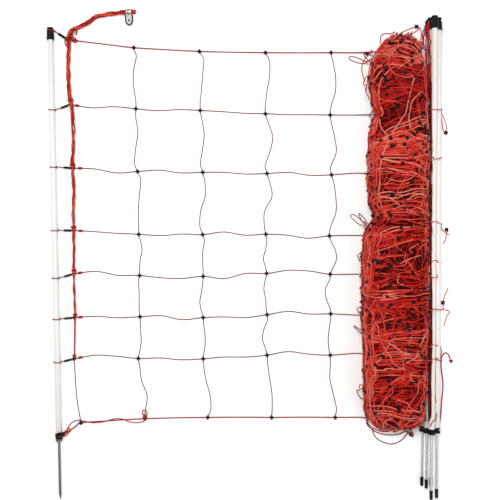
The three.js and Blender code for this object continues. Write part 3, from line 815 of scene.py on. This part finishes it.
def coil(path, middle, length, turns, reach):
    """A strand wound round a path, near the path's point closest to middle."""
    nearest = int(np.argmin(np.linalg.norm(path - np.asarray(middle), axis=1)))
    along = path[min(nearest + 1, len(path) - 1)] - path[max(nearest - 1, 0)]
    along = along / np.linalg.norm(along)
    side = np.cross(along, UP)
    side /= np.linalg.norm(side)
    over = np.cross(side, along)
    share = np.linspace(0, 1, WRAP_POINTS)
    angle = share * turns * 2 * math.pi - 0.5
    points = path[nearest] + np.outer((share - 0.5) * length, along)
    points = points + reach * (np.outer(np.cos(angle), side) + np.outer(np.sin(angle), over))
    return points


def make_wraps(paths, joints):
    """The short wraps of twine beside the end stay."""
    wraps = []
    for line in SLEEVED_LINES:
        middle = joints[line - 1] + np.array([WRAP_PAST_JOINT, -0.001, 0])
        wrap = coil(paths[line], middle, WRAP_LENGTH, WRAP_TURNS, WRAP_REACH)
        wrap[:, 2] = np.maximum(wrap[:, 2], WRAP_RADIUS + FLOOR_GAP)
        wraps.append(wrap)
    strand_mesh("line_wraps", wraps, WRAP_RADIUS, 8, LEAD_TWINE, "red_twine")


# Twine about the end post's two ends, as the photograph's pixels
BOTTOM_CORNER = [
    [(63.6, 433), (66.4, 430.4), (69, 428), (70.8, 429), (70, 431.2), (67.8, 430.6), (68.4, 427),
     (72, 422.6), (77, 420), (82, 420.4), (89, 422), (97, 422.4), (106, 421), (115, 418.6),
     (123, 419), (130, 421.8), (138, 422.6), (144, 420.6),
     (146.6, 417.6), (145.4, 414.8), (143.2, 416), (144.4, 418.4)],
    [(64.4, 434), (65.2, 431.4), (67.2, 431), (68, 433), (66.6, 434.8), (64.6, 434.4), (64, 432.6)],
    [(145, 417.8), (147, 415.6), (146.8, 411.6), (144.8, 409.8), (142.6, 411), (143, 413.8),
     (145.4, 414.4)],
]
TOP_CORNER = [
    [(71.5, 41), (73, 38.6), (75.6, 38.8), (77.2, 41.2), (76, 43), (74, 42.2), (74.4, 40),
     (77.6, 40.6), (80, 41.6)],
    [(73.2, 37.6), (72.6, 33.6), (74, 31), (76.8, 30.8), (77.4, 33), (75.6, 35.4)],
    [(67.6, 47), (65.8, 44.6), (66.6, 41.8), (69.4, 40.2)],
]


def make_corner_strands(ground):
    for name, strands in (("bottom_corner", BOTTOM_CORNER), ("top_corner", TOP_CORNER)):
        paths = [smooth_path(ground.drape(pixels, TWINE_RADIUS, 0.003), 110) for pixels in strands]
        tones = [0.45] * len(paths)
        strand_mesh("line_" + name, paths, TWINE_RADIUS, 8, LEAD_TWINE, "red_twine", tones)
    radius = FOOT_SLEEVE_RADIUS
    sleeves = [smooth_path(ground.drape(pixels, radius, 0.002), 30) for pixels in FOOT_SLEEVES]
    strand_mesh("foot_sleeves", sleeves, radius, 10, BLACK, "black_plastic")


def make_open_net():
    paths = {line: make_line(line) for line in LINES}
    joints = [make_stay(stay) for stay in STAYS][0]
    make_wraps(paths, joints)
    for line in SLEEVED_LINES:
        assign(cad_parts["sleeve_%d" % line], BLACK)


# Connecting lead and tail


def lead_centre():
    """The lead's middle line, and the point where its free end begins."""
    sections = sections_of("lead_held", 1)
    held = [middle for middle, _ in sections][:-1]
    points = smooth_path([*held, *LEAD_ROUTE], 420)
    corner = int(np.argmin(np.linalg.norm(points - np.array(LEAD_ROUTE[0]), axis=1)))
    return points, corner


def make_lead():
    points, corner = lead_centre()
    random = np.random.default_rng(8)
    across, up = side_vectors(points[None])
    across, up = across[0], up[0]
    length = lengths_along(points)
    _, joints = stay_path("end_stay")
    rows = [joint[1] for joint in joints[1:]]
    starts = [int(np.argmin(np.abs(points[: corner + 1, 1] - (row - 0.003)))) for row in rows]
    starts[0] = 0
    ring = np.array(BUNDLE_REACH) * LEAD_STRAND_RADIUS
    count = np.zeros(len(points))
    for start in starts:
        count += np.clip((np.arange(len(points)) - start) / 10, 0, 1)
    spread = np.interp(count, np.arange(1, 8), ring)
    held, free = [], []
    for i, start in enumerate(starts):
        phase = 2 * math.pi * i * 3 / 7 + random.normal(0, 0.12)
        angle = phase + 2 * math.pi * length / LEAD_TURN + 0.25 * np.sin(length / 0.031 + i)
        wobble = 1 + 0.28 * np.sin(2 * math.pi * length / random.uniform(0.04, 0.07) + phase)
        reach = np.minimum(spread * wobble, LEAD_RADIUS - LEAD_STRAND_RADIUS)
        strand = points + reach[:, None] * (
            np.cos(angle)[:, None] * across + np.sin(angle)[:, None] * up
        )
        strand[:, 2] = np.maximum(strand[:, 2], LEAD_STRAND_RADIUS + FLOOR_GAP)
        if start < corner - 12:
            joint = joints[i + 1]
            root = np.array([joint[0] + 0.003, joint[1] + 0.002, 0.0085])
            rise = [root, strand[start + 8], *strand[start + 9 : corner + 1 : 3]]
        else:
            root = joints[i + 1] + np.array([0.004, -0.004, 0.0045])
            rise = [root, *strand[corner - 4 : corner + 1 : 2]]
        held.append(smooth_path(rise, 300))
        free.append(smooth_path(strand[corner:], 110))
    finish = (LEAD_STRAND_RADIUS, 9, LEAD_TWINE, "red_twine", LEAD_STRAND_TONES)
    piece = strand_mesh("lead_strands", held, *finish, twisted=True, closed=True)
    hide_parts("lead_held")
    wraps = []
    for row in joints[1:]:
        above = row[1] + WRAP_ABOVE_JOINT
        near = int(np.argmin(np.abs(points[: corner + 1, 1] - above)))
        reach = min(spread[near] + 2 * LEAD_STRAND_RADIUS, WRAP_REACH_LIMIT)
        middle = (row[0], above, 0.01)
        wraps.append(coil(points[: corner + 1], middle, LEAD_WRAP_LENGTH, LEAD_WRAP_TURNS, reach))
    strand_mesh("lead_wraps", wraps, WRAP_RADIUS, 8, LEAD_TWINE, "red_twine")

    clip = make_clip()
    lead = strand_mesh("lead_end_strands", free, *finish, twisted=True, closed=True)
    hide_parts("lead_free_end")
    route = smooth_path(LEAD_ROUTE, 200)


def ring_plate(outline, hole, low, high):
    """A flat plate with one round hole, between two heights. Both outlines have as many points."""
    count = len(outline)
    vertices = [(*p, low) for p in outline] + [(*p, low) for p in hole]
    vertices += [(*p, high) for p in outline] + [(*p, high) for p in hole]
    faces = []
    for i in range(count):
        j = (i + 1) % count
        faces.append((i, count + i, count + j, j))
        faces.append((2 * count + i, 2 * count + j, 3 * count + j, 3 * count + i))
        faces.append((i, j, 2 * count + j, 2 * count + i))
        faces.append((count + j, count + i, 3 * count + i, 3 * count + j))
    return vertices, faces


def make_clip():
    """The crimped sleeve with its brass band, and the rimmed tag that hangs from it."""
    corners = corners_of("connection_clip")
    middle = np.array(LEAD_ROUTE[-2])
    along = np.array(LEAD_ROUTE[-1]) - np.array(LEAD_ROUTE[-3])
    along /= np.linalg.norm(along)
    down = np.cross(along, UP)
    reach = CLIP_BORE + CLIP_WALL
    half = CLIP_LENGTH / 2
    profile = [
        (CLIP_BORE, 0),
        (CLIP_BORE, -half),
        (reach - 0.0002, -half),
        (reach, -half + 0.0006),
        (reach, half - 0.0006),
        (reach - 0.0002, half),
        (CLIP_BORE, half),
        (CLIP_BORE, 0),
    ]
    shape = turned_shape(profile, middle, along)
    sleeve = turned_piece("clip_sleeve", "connection_clip", shape, BRIGHT, "bright_steel")
    weld(sleeve)
    band = [
        (reach - 0.0001, -0.0024),
        (reach + 0.0002, -0.0024),
        (reach + 0.0002, 0.0024),
        (reach - 0.0001, 0.0024),
        (reach - 0.0001, -0.0024),
    ]
    band_piece = add_piece("clip_band", *turned_shape(band, middle, along), BRASS, "bright_steel")
    weld(band_piece)

    far = max((p - middle).dot(down) for p in corners)
    width = TAG_WIDTH
    start = reach * 0.7
    straight = start + 0.013
    outline = []
    for turn in np.linspace(-0.5 * math.pi, 0.5 * math.pi, 25):
        drop = (far - straight) * math.cos(turn) ** 0.85 if abs(turn) < 1.57 else 0.0
        outline.append((width / 2 * math.sin(turn), straight + drop))
    side = [(width / 2, start + (straight - start) * t) for t in (0.75, 0.5, 0.25, 0.0)]
    outline += side
    outline += [(width / 2 * t, start) for t in (0.5, 0.0, -0.5)]
    outline += [(-x, y) for x, y in reversed(side)]
    centre = (0.0, far - TAG_HOLE_FROM_END)
    hole = []
    for x, y in outline:
        angle = math.atan2(y - centre[1], x - centre[0])
        across, up = math.cos(angle), math.sin(angle)
        hole.append((TAG_HOLE_RADIUS * across, centre[1] + TAG_HOLE_RADIUS * up))

    def lay(points):
        return [middle * [1, 1, 0] + along * x + down * y + np.array([0, 0, z]) for x, y, z in points]

    faces_at = middle[2] - TAG_HALF_THICKNESS, middle[2] + TAG_HALF_THICKNESS
    vertices, faces = ring_plate(outline, hole, *faces_at)
    plate = add_piece("clip_plate", lay(vertices), faces, PLATE, "bright_steel", smooth=False)
    inset = TAG_RIM_INSET
    rim = [(-width / 2 + inset, reach - 0.0006), (-width / 2 + inset, (reach + straight) / 2)]
    for turn in np.linspace(-0.5 * math.pi, 0.5 * math.pi, 17):
        drop = (far - straight - inset) * max(math.cos(turn), 0) ** 0.85
        rim.append(((width / 2 - inset) * math.sin(turn), straight + drop))
    rim += [(-x, y) for x, y in reversed(rim[:2])]
    path = smooth_path(lay([(x, y, middle[2]) for x, y in rim]), 70)
    edge = strand_mesh("clip_rim", [path], TAG_RIM_RADIUS, 12, RIM_SHADE, "bright_steel")
    turn = np.linspace(0, 2 * math.pi, 33)
    eyelet = np.stack([np.cos(turn), np.sin(turn), 0 * turn], axis=1) * EYELET_REACH
    eyelet = lay(eyelet + [0, centre[1], middle[2]])
    ring = strand_mesh("clip_eyelet", [eyelet], EYELET_RADIUS, 8, RIM_SHADE, "bright_steel", closed=True)
    return [sleeve, band_piece, plate, edge, ring]


def make_tail():
    route = smooth_path(TAIL_ROUTE, 260)
    tail = strand_mesh("tail_twine", [route], TAIL_RADIUS, 12, LEAD_TWINE, "red_twine", twisted=True)
    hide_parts("tail_cord")
    low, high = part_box("tail_knot")
    middle = (np.array(low) + np.array(high)) / 2
    turn = np.linspace(0, 2 * math.pi, 90)
    knot = np.stack(
        [
            (np.sin(turn) + 2 * np.sin(2 * turn)) / 3,
            (np.cos(turn) - 2 * np.cos(2 * turn)) / 3,
            -np.sin(3 * turn) * 0.5,
        ],
        axis=1,
    )
    knot = middle + knot * (KNOT_RADIUS - 0.0014)
    piece = strand_mesh("tail_stopper_knot", [knot], KNOT_STRAND_RADIUS, 10, LEAD_TWINE, "red_twine")
    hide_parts("tail_knot")


# Gathered net


class FoldShape:
    """The gathered net's outer shape as distance from its middle line, by place along +Y and angle."""

    ROWS = 300
    ANGLES = 128
    NEAREST = 40  # corners of the core that give a row's middle
    OVERHANG = 0.05  # how far strands go on over the net's two ends
    MARGIN = 0.004  # of the rows from those ends
    MIDDLE_RISE = 0.45  # the middle line's height as a share of the top's
    LEAST_TOP = 0.05
    LEAST_REACH = 0.02

    def __init__(self):
        tree = tree_of("gathered_net")
        low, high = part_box("gathered_net")
        self.low, self.high = low.y + self.MARGIN, high.y - self.MARGIN
        self.rows = np.linspace(self.low, self.high, self.ROWS)
        self.middle = np.empty((self.ROWS, 2))
        self.reach = np.empty((self.ROWS, self.ANGLES))
        angles = np.arange(self.ANGLES) * 2 * math.pi / self.ANGLES
        corners = corners_of("gathered_net")
        for i, y in enumerate(self.rows):
            near = corners[np.argsort(np.abs(corners[:, 1] - y))[: self.NEAREST]]
            x = (near[:, 0].min() + near[:, 0].max()) / 2
            top = tree.ray_cast(Vector((x, y, 0.3)), DOWN)[0]
            middle = Vector((x, y, (top.z if top else self.LEAST_TOP) * self.MIDDLE_RISE))
            self.middle[i] = middle.x, middle.z
            for j, angle in enumerate(angles):
                way = Vector((math.cos(angle), 0, math.sin(angle)))
                hit = tree.ray_cast(middle, way)[0]
                self.reach[i, j] = (hit - middle).length if hit else self.LEAST_REACH

    def place(self, y, angle, depth):
        """Points on the shape at y and angle, sunk by depth."""
        beyond = np.maximum(np.maximum(self.low - y, y - self.high), 0)
        row = np.clip((y - self.low) / (self.high - self.low), 0, 1) * (self.ROWS - 1.001)
        column = (angle / (2 * math.pi) * self.ANGLES) % self.ANGLES
        i, j = row.astype(int), column.astype(int)
        a, b = row - i, column - j
        k = (j + 1) % self.ANGLES
        reach = (
            self.reach[i, j] * (1 - a) * (1 - b)
            + self.reach[i + 1, j] * a * (1 - b)
            + self.reach[i, k] * (1 - a) * b
            + self.reach[i + 1, k] * a * b
        )
        reach = np.maximum(reach - depth - beyond, 0.002)
        middle = self.middle[i] * (1 - a[..., None]) + self.middle[i + 1] * a[..., None]
        x = middle[..., 0] + reach * np.cos(angle)
        z = np.maximum(middle[..., 1] + reach * np.sin(angle), FOLD_RADIUS + FLOOR_GAP)
        y = np.clip(y, self.low + depth * 0.7, self.high - depth * 0.7)
        return np.stack([x, y, z], axis=-1)


def settle(points, rounds=3):
    """Strands smoothed between their points, and kept on the floor."""
    for _ in range(rounds):
        points[:, 1:-1] = 0.25 * points[:, :-2] + 0.5 * points[:, 1:-1] + 0.25 * points[:, 2:]
    points[..., 2] = np.maximum(points[..., 2], FOLD_RADIUS + FLOOR_GAP)
    return points


def sunk_along(random, depth, share, cycles):
    """How deep a strand lies along its length: a ripple about depth, and both ends tucked in."""
    sunk = depth + RIPPLE * np.sin(2 * math.pi * share * cycles + random.uniform(0, 6)) + RIPPLE / 2
    sunk = np.maximum(sunk, FOLD_RADIUS)
    sunk[[0, 1, -2, -1]] += END_TUCK
    return sunk


def wandering(shape, random, count, kind, depths, steps, length):
    """Strands that wander over the gathered net. kind gives each one's heading and how it turns."""
    y = random.uniform(shape.low - 0.02, shape.high + 0.02, count)
    angle = random.uniform(-0.6, math.pi + 0.6, count)
    if kind == "across":
        heading = math.pi / 2 + random.normal(0, 0.24, count) + math.pi * random.integers(0, 2, count)
        bend = random.normal(0, 3.0, count)
    elif kind == "along":
        heading = random.normal(0, 0.16, count)
        side = random.integers(0, 2, count)
        angle = np.where(side == 0, random.normal(0.4, 0.3, count), random.normal(2.8, 0.3, count))
        bend = random.normal(0, 1.2, count)
    elif kind == "loop":
        heading = random.uniform(0, 2 * math.pi, count)
        bend = random.choice([-1, 1], count) * random.uniform(10, 26, count)
    else:
        heading = random.uniform(0, 2 * math.pi, count)
        bend = random.normal(0, 4.0, count)
    step = length / steps
    wander = random.normal(0, 1, (count, WAVES))
    waves = random.uniform(0, 2 * math.pi, (count, WAVES))
    places = np.empty((count, steps, 2))
    lowest, highest = shape.low - shape.OVERHANG, shape.high + shape.OVERHANG
    highest_angle = math.pi - LOWEST_ANGLE
    for i in range(steps):
        places[:, i, 0], places[:, i, 1] = y, angle
        share = i / steps
        turns = [2 * math.pi * (k + 0.7) * share for k in range(WAVES)]
        sway = sum(wander[:, k] * np.sin(turn + waves[:, k]) for k, turn in enumerate(turns))
        heading = heading + (bend + 5.0 * sway) * step
        y = y + np.cos(heading) * step
        heading = np.where((y < lowest) | (y > highest), math.pi - heading, heading)
        y = np.clip(y, lowest, highest)
        angle = angle + np.sin(heading) * step / MEAN_REACH
        heading = np.where((angle < LOWEST_ANGLE) | (angle > highest_angle), -heading, heading)
        angle = np.clip(angle, LOWEST_ANGLE, highest_angle)
    share = np.linspace(0, 1, steps)[None]
    start, end = random.uniform(*depths, (2, count, 1))
    cycles, phases = random.uniform(1, 4, (count, 1)), random.uniform(0, 1, (count, 1))
    ripple = 0.0015 * np.sin(2 * math.pi * (cycles * share + phases))
    depth = np.maximum(start * (1 - share) + end * share + ripple, FOLD_RADIUS)
    depth[:, :2] += 0.005
    depth[:, -2:] += 0.005
    return settle(shape.place(places[..., 0], places[..., 1], depth))


def bowed_groups(shape, random, count, depths, steps):
    """Groups of strands that lie side by side across the gathered net, each group bowed one way."""
    strands = []
    span = shape.high - shape.low
    share = np.linspace(0, 1, steps)
    for _ in range(count):
        middle = shape.low + span * random.uniform(0.01, 0.99)
        bow, tilt = random.normal(0.006, 0.016), random.normal(0, 0.022)
        start, end = random.uniform(-0.5, 0.7), random.uniform(math.pi - 0.7, math.pi + 0.5)
        swing = random.uniform(0, 2 * math.pi)
        depth = random.uniform(*depths)
        for i in range(random.integers(3, 8)):
            y = middle + i * random.uniform(0.0042, 0.0078)
            y = y + bow * np.sin(math.pi * share) * random.uniform(0.8, 1.2) + tilt * (share - 0.5)
            y = y + 0.0025 * np.sin(2 * math.pi * share * 2.2 + swing + random.normal(0, 0.35))
            first, last = start + random.normal(0, 0.08), end + random.normal(0, 0.08)
            angle = first + (last - first) * share
            strands.append(shape.place(y, angle, sunk_along(random, depth, share, 3)))
    return settle(np.array(strands), 1)


def long_groups(shape, random, count, depths, steps):
    """Groups of strands that run up the gathered net's two long sides."""
    strands = []
    span = shape.high - shape.low
    share = np.linspace(0, 1, steps)
    for _ in range(count):
        length = random.uniform(0.12, 0.3)
        start = shape.low + random.uniform(0, max(span - length, 0.01))
        left = random.random() < 0.6
        place = random.uniform(2.45, 3.5) if left else random.uniform(-0.4, 0.55)
        lean = random.normal(0, 0.16)
        swing = random.uniform(0, 2 * math.pi)
        depth = random.uniform(*depths)
        for i in range(random.integers(2, 6)):
            angle = place + i * 0.045 + lean * share + 0.05 * np.sin(2 * math.pi * share * 1.3 + swing)
            y = start + random.normal(0, 0.008) + length * share
            strands.append(shape.place(y, angle, sunk_along(random, depth, share, 4)))
    return settle(np.array(strands), 1)


# Deeper layers take darker tone ranges as painted shade of depth, and the outer layers reach the palest
# tones as painted highlights.
LAYERS = [
    # name, seed, kind, strands or groups, depth range, points, length, tone range, sides
    ("inner_across", 11, "across", 210, (0.006, 0.012), 36, 0.36, (0.0, 0.25), 5),
    ("inner_along", 12, "along", 70, (0.006, 0.012), 36, 0.36, (0.0, 0.25), 5),
    ("middle_across", 21, "across", 110, (0.003, 0.008), 40, 0.34, (0.1, 0.5), 5),
    ("middle_any", 22, "any", 60, (0.003, 0.008), 40, 0.34, (0.15, 0.55), 5),
    ("middle_bows", 23, "bows", 26, (0.002, 0.006), 28, 0, (0.25, 0.65), 5),
    ("outer_across", 31, "across", 56, (0.001, 0.004), 44, 0.30, (0.3, 1.0), 6),
    ("outer_bows", 32, "bows", 24, (0.0008, 0.003), 28, 0, (0.35, 1.05), 6),
    ("outer_long", 33, "long", 46, (0.0008, 0.004), 32, 0, (0.25, 0.95), 6),
    ("outer_any", 34, "any", 48, (0.001, 0.004), 44, 0.30, (0.4, 1.1), 6),
    ("outer_loops", 35, "loop", 42, (0.001, 0.003), 44, 0.24, (0.5, 1.1), 6),
]


def make_core(shape):
    """The gathered net's inside, a closed sheet in the painted-shade core colour."""
    rows, columns = 170, 64
    y = np.linspace(shape.low - shape.OVERHANG, shape.high + shape.OVERHANG, rows)
    angle = np.arange(columns) * 2 * math.pi / columns
    sunk = np.full((rows, columns), CORE_DEPTH)
    grid = shape.place(y[:, None] + 0 * angle, angle[None] + 0 * y[:, None], sunk)
    vertices = grid.reshape(-1, 3)
    faces = []
    for start in range(0, (rows - 1) * columns, columns):
        for j in range(columns):
            k = (j + 1) % columns
            faces.append((start + j, start + k, start + columns + k, start + columns + j))
    faces.append(tuple(range(columns - 1, -1, -1)))
    faces.append(tuple((rows - 1) * columns + j for j in range(columns)))
    return add_piece("gathered_shade_core", vertices, faces, SHADE_CORE, "red_twine")


class Ground:
    """Finds what lies under a point: a strand, the gathered net, a stacked post or the floor."""

    def __init__(self):
        nodes = ["gathered_net", "line_1", "line_8", "end_stay", "stay_1", "lead_held", "lead_free_end"]
        nodes += ["end_post_foot", "end_post_tube"]
        nodes += [post + kind for post in STACK for kind in ("_tube", "_cap", "_foot")]
        self.trees = [tree_of(node) for node in nodes]

    def height(self, x, y):
        best = 0.0
        for tree in self.trees:
            hit = tree.ray_cast(Vector((x, y, 0.4)), DOWN)[0]
            if hit and hit.z > best:
                best = hit.z
        return best

    def drape(self, pixels, radius, step=0.004):
        """A strand laid along the photograph's pixels, down onto whatever is under it."""
        flat = smooth_path([(*p, 0) for p in pixels], 60)
        count = max(8, int(path_length(flat) * PIXEL / step))
        flat = smooth_path([(*p, 0) for p in pixels], count)
        points = np.empty((count, 3))
        for i, (px, py, _) in enumerate(flat):
            height = 0.0
            for _ in range(3):
                x, y, _ = at_pixel(px, py, height)
                height = self.height(x, y)
            points[i] = *at_pixel(px, py, height)[:2], height + radius + FLOOR_GAP
        heights = points[:, 2]
        padded = np.pad(heights, 1, mode="edge")
        heights = np.maximum(np.maximum(padded[:-2], padded[2:]), heights)
        for _ in range(2):
            heights[1:-1] = 0.25 * heights[:-2] + 0.5 * heights[1:-1] + 0.25 * heights[2:]
        points[:, 2] = heights
        return points


# Strands that stand out in the photograph, as its pixels
TOP_STRANDS = [
    [(366, 92), (368, 74), (374, 56), (388, 42), (403, 32), (416.6, 27), (421, 31), (420, 42), (414, 52)],
    [(371, 80), (377, 60), (390, 47), (404, 40), (415, 32), (420, 28)],
    [(427, 24), (424, 34), (421, 48), (420, 64), (424, 82)],
    [(427, 24), (428.4, 40), (429.6, 60), (430, 84), (430.4, 104)],
    [(426, 27), (427.5, 46), (428.6, 66), (429, 92)],
    [(427, 24), (425.6, 40), (426.4, 58), (427.6, 76), (428, 99)],
    [(380, 44), (381, 36), (387, 33.5), (391, 37), (387, 43), (379, 48), (374, 56)],
    [(392, 42), (400, 37.5), (409, 40), (416, 47), (420, 57)],
    [(377, 51), (389, 40), (402, 41), (413, 49), (421, 62), (425, 78)],
    [(364, 80), (361.6, 70), (363, 62), (368, 55), (372, 50)],
    [(426, 22.6), (424.4, 30), (423.6, 41), (425, 53), (427, 65), (428, 82)],
    [(428, 23), (429.4, 36), (430, 52), (430.2, 72), (429.8, 94)],
    [(425, 25), (422.6, 34), (422.8, 45), (425.4, 57), (427.2, 72), (428.4, 92)],
    [(427.6, 25), (427, 38), (428.2, 52), (428.6, 70), (429.4, 100)],
    [(421, 39), (418.6, 46), (420.6, 54), (423, 66), (424.6, 80)],
    [(383, 46), (392, 38.4), (403, 35), (412, 36.4), (419, 43), (422, 55)],
]
SIDE_LOOPS = [
    [(372, 64), (360, 63.4), (351, 60.4), (348.4, 57.6), (351.6, 56.6), (360, 59), (371, 66)],
    [(370, 62), (365.6, 58), (363.6, 54.4), (366, 52.6), (369.4, 55.6), (372, 60)],
    [(366, 229), (358, 223.6), (351.4, 217.6), (350.2, 215.2), (353.6, 214.6), (360, 219.4), (367, 226)],
    [(364, 226), (358.4, 213.8), (361, 215), (366.6, 221.4)],
    [(362, 262), (357.2, 259), (356.4, 254), (359, 253), (363, 257)],
    [(362, 334), (354.6, 327.4), (353.4, 325.6), (356, 326.6), (363, 331)],
    [(363, 399), (357.6, 394), (356.8, 388), (359.4, 384), (363, 386)],
    [(363, 313), (357, 311.4), (355.6, 307.6), (358, 305.8), (362.6, 308)],
    [(369, 100), (365.8, 92), (363.4, 84), (365, 79.4), (369, 84)],
    [(371, 122), (369, 117), (370, 113.6), (373.4, 112.6), (377, 116)],
]
BOTTOM_STRANDS = [
    [(372.6, 428), (373.4, 433.6), (379, 440), (390.8, 444), (400.6, 440.6), (407.4, 433), (408, 427)],
    [(366, 414), (367, 424), (374, 431), (386, 434.6), (399, 434), (410, 428)],
    [(364, 404), (365.4, 418), (371, 427), (383, 431.4), (397, 429.6)],
    [(409, 428), (411, 433.4), (412.6, 437.6)],
    [(405, 430), (409, 434), (410, 436.4)],
    [(418, 426), (424, 428.6), (428.4, 431.6), (426, 434)],
]
POST_TIES = [
    [(422, 111), (429, 109.6), (436, 110), (440.6, 113), (444, 119), (446.4, 126), (446, 132.4),
     (443, 130), (441.6, 121), (439.6, 112.6)],
    [(424, 159.6), (431, 159), (439, 159.2)],
    [(424, 222.4), (431, 221.6), (437, 222.4), (440, 226), (443, 231), (449.6, 235.2)],
    [(448, 229.4), (446.4, 234), (445.6, 239), (443, 243.6)],
    [(424, 273), (431, 277), (436.6, 276.4), (438.6, 268), (436.4, 260.6), (431, 262)],
    [(424, 309), (431, 309.4), (439, 309), (445, 310), (449.6, 311.8), (446.6, 316.4), (443.6, 326.4)],
    [(448, 288), (444.6, 296), (443, 302.6), (443.2, 310)],
    [(424, 346), (431, 344.4), (438.6, 345.8), (441.4, 352), (438, 357), (431, 359), (424, 360)],
    [(424, 359), (431, 358.6), (439, 359.6)],
    [(435, 352), (434.6, 366), (435.2, 380), (434.8, 392), (436, 403)],
    [(429.6, 427), (432, 422.6), (436, 416), (438, 409), (437, 422), (438.6, 428)],
]
# Black-sleeved twine about the end post's foot
FOOT_SLEEVES = [
    [(56.8, 436.8), (59.6, 437.6), (62.4, 436.4), (65, 433.6)],
    [(57.2, 433.8), (60, 433), (62.6, 432.8), (65.4, 431.4)],
]
STRAND_JOINTS = [
    (416.6, 27), (427, 24), (402.6, 40.4), (367.4, 54), (446, 133),
    (443, 302.6), (446.6, 229.6), (411.6, 434), (373, 216), (439.6, 47.6),
]
# Near-black strands along the gathered net's edge beside the posts, a painted shadow between the net and
# the posts
SHADOW_STRAND_COUNT = 7
SHADOW_STRAND_COLUMNS = (428.4, 431.2)
SHADOW_STRAND_ROWS = (56, 424)


def make_loose_strands(ground):
    random = np.random.default_rng(77)
    groups = [
        ("top_strands", TOP_STRANDS, 0.0012, (0.2, 0.7)),
        ("side_loops", SIDE_LOOPS, 0.0011, (0.1, 0.4)),
        ("bottom_strands", BOTTOM_STRANDS, 0.0013, (0.2, 0.5)),
        ("post_ties", POST_TIES, 0.0011, (0.3, 0.7)),
    ]
    for name, strands, radius, range_of_tones in groups:
        paths = [smooth_path(ground.drape(pixels, radius), 60) for pixels in strands]
        tones = random.uniform(*range_of_tones, len(paths))
        strand_mesh("gathered_" + name, paths, radius, 7, FOLD_TWINE, "red_twine", tones)
    # Painted shadow: strands with tones near black draped along the net's edge beside the posts.
    edges = []
    for place in np.linspace(*SHADOW_STRAND_COLUMNS, SHADOW_STRAND_COUNT):
        rows = np.linspace(SHADOW_STRAND_ROWS[0] + random.uniform(0, 30), SHADOW_STRAND_ROWS[1] - random.uniform(0, 12), 15)
        columns = place + random.normal(0, 0.45, 15)
        edges.append(smooth_path(ground.drape(list(zip(columns, rows)), FOLD_RADIUS, 0.008), 110))
    tones = random.uniform(0, 0.12, SHADOW_STRAND_COUNT)
    strand_mesh("gathered_edge_shadow", edges, FOLD_RADIUS, 6, FOLD_TWINE, "red_twine", tones)
    shapes = []
    for px, py in STRAND_JOINTS:
        middle = ground.drape([(px - 0.5, py), (px + 0.5, py)], JOINT_RADIUS)[0]
        along = (random.normal(), random.normal(), 0)
        shapes.extend(joint_shapes(middle, along, np.cross(along, (0, 0, 1)), 10))
    add_piece("gathered_loose_joints", *join_shapes(shapes), BLACK, "black_plastic")


def make_gathered_net():
    shape = FoldShape()
    core = make_core(shape)
    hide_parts("gathered_net")
    joints = []
    for name, seed, kind, count, depths, steps, length, tones, sides in LAYERS:
        random = np.random.default_rng(seed)
        if kind == "bows":
            points = bowed_groups(shape, random, count, depths, steps)
        elif kind == "long":
            points = long_groups(shape, random, count, depths, steps)
        else:
            points = wandering(shape, random, count, kind, depths, steps, length)
        shades = random.uniform(*tones, len(points))
        strand_mesh("gathered_" + name, points, FOLD_RADIUS, sides, FOLD_TWINE, "red_twine", shades)
        if name.startswith("inner"):
            continue
        for strand in points[:: 1 if kind in ("across", "any", "loop") else 3]:
            i = int(random.uniform(0.12, 0.88) * (len(strand) - 1))
            joints.append((strand[i], strand[i + 1] - strand[i - 1]))
    random = np.random.default_rng(6)
    shapes = []
    for middle, along in joints:
        along = along / np.linalg.norm(along)
        other = random.normal(0, 1, 3)
        other -= other.dot(along) * along
        middle = middle.copy()
        middle[2] = max(middle[2], JOINT_LENGTH / 2 + FLOOR_GAP)
        shapes.extend(joint_shapes(middle, along, other, 7))
    add_piece("gathered_joints", *join_shapes(shapes), BLACK, "black_plastic")
    ground = Ground()
    make_loose_strands(ground)
    make_corner_strands(ground)


# Floor and light
FLOOR_HALF_SIZE = 12.0
FLOOR_GLOW = 0.09
SKY_STRENGTH = 0.46


def make_floor():
    size = FLOOR_HALF_SIZE
    vertices = [(-size, -size, 0), (size, -size, 0), (size, size, 0), (-size, size, 0)]
    mesh = bpy.data.meshes.new("floor")
    mesh.from_pydata(vertices, [], [(0, 1, 2, 3)])
    shading = Shading("floor")
    shading.set(Base_Color=(0.93, 0.93, 0.925, 1.0), Roughness=0.9, Specular_IOR_Level=0.2)
    shading.set(Emission_Color=(1.0, 1.0, 1.0, 1.0), Emission_Strength=FLOOR_GLOW)
    mesh.materials.append(shading.material)
    floor = bpy.data.objects.new("floor", mesh)
    bpy.context.scene.collection.objects.link(floor)


def make_light(name, place, target, size, power):
    data = bpy.data.lights.new(name, "AREA")
    data.shape = "DISK"
    data.size = size
    data.energy = power
    light = bpy.data.objects.new(name, data)
    light.location = place
    light.rotation_euler = (Vector(target) - Vector(place)).to_track_quat("-Z", "Y").to_euler()
    bpy.context.scene.collection.objects.link(light)


def make_studio():
    world = bpy.data.worlds.new("studio")
    world.use_nodes = True
    world.node_tree.nodes["Background"].inputs["Color"].default_value = (1.0, 1.0, 1.0, 1.0)
    world.node_tree.nodes["Background"].inputs["Strength"].default_value = SKY_STRENGTH
    bpy.context.scene.world = world
    make_light("key", (-0.3, 0.6, 2.6), (0.05, 0, 0), 0.9, 50)
    make_light("fill", (1.5, -0.8, 2.2), (0.1, 0, 0), 1.6, 12)


make_camera()
make_lead()
make_tail()
make_posts()
make_open_net()
make_gathered_net()
make_floor()
make_studio()
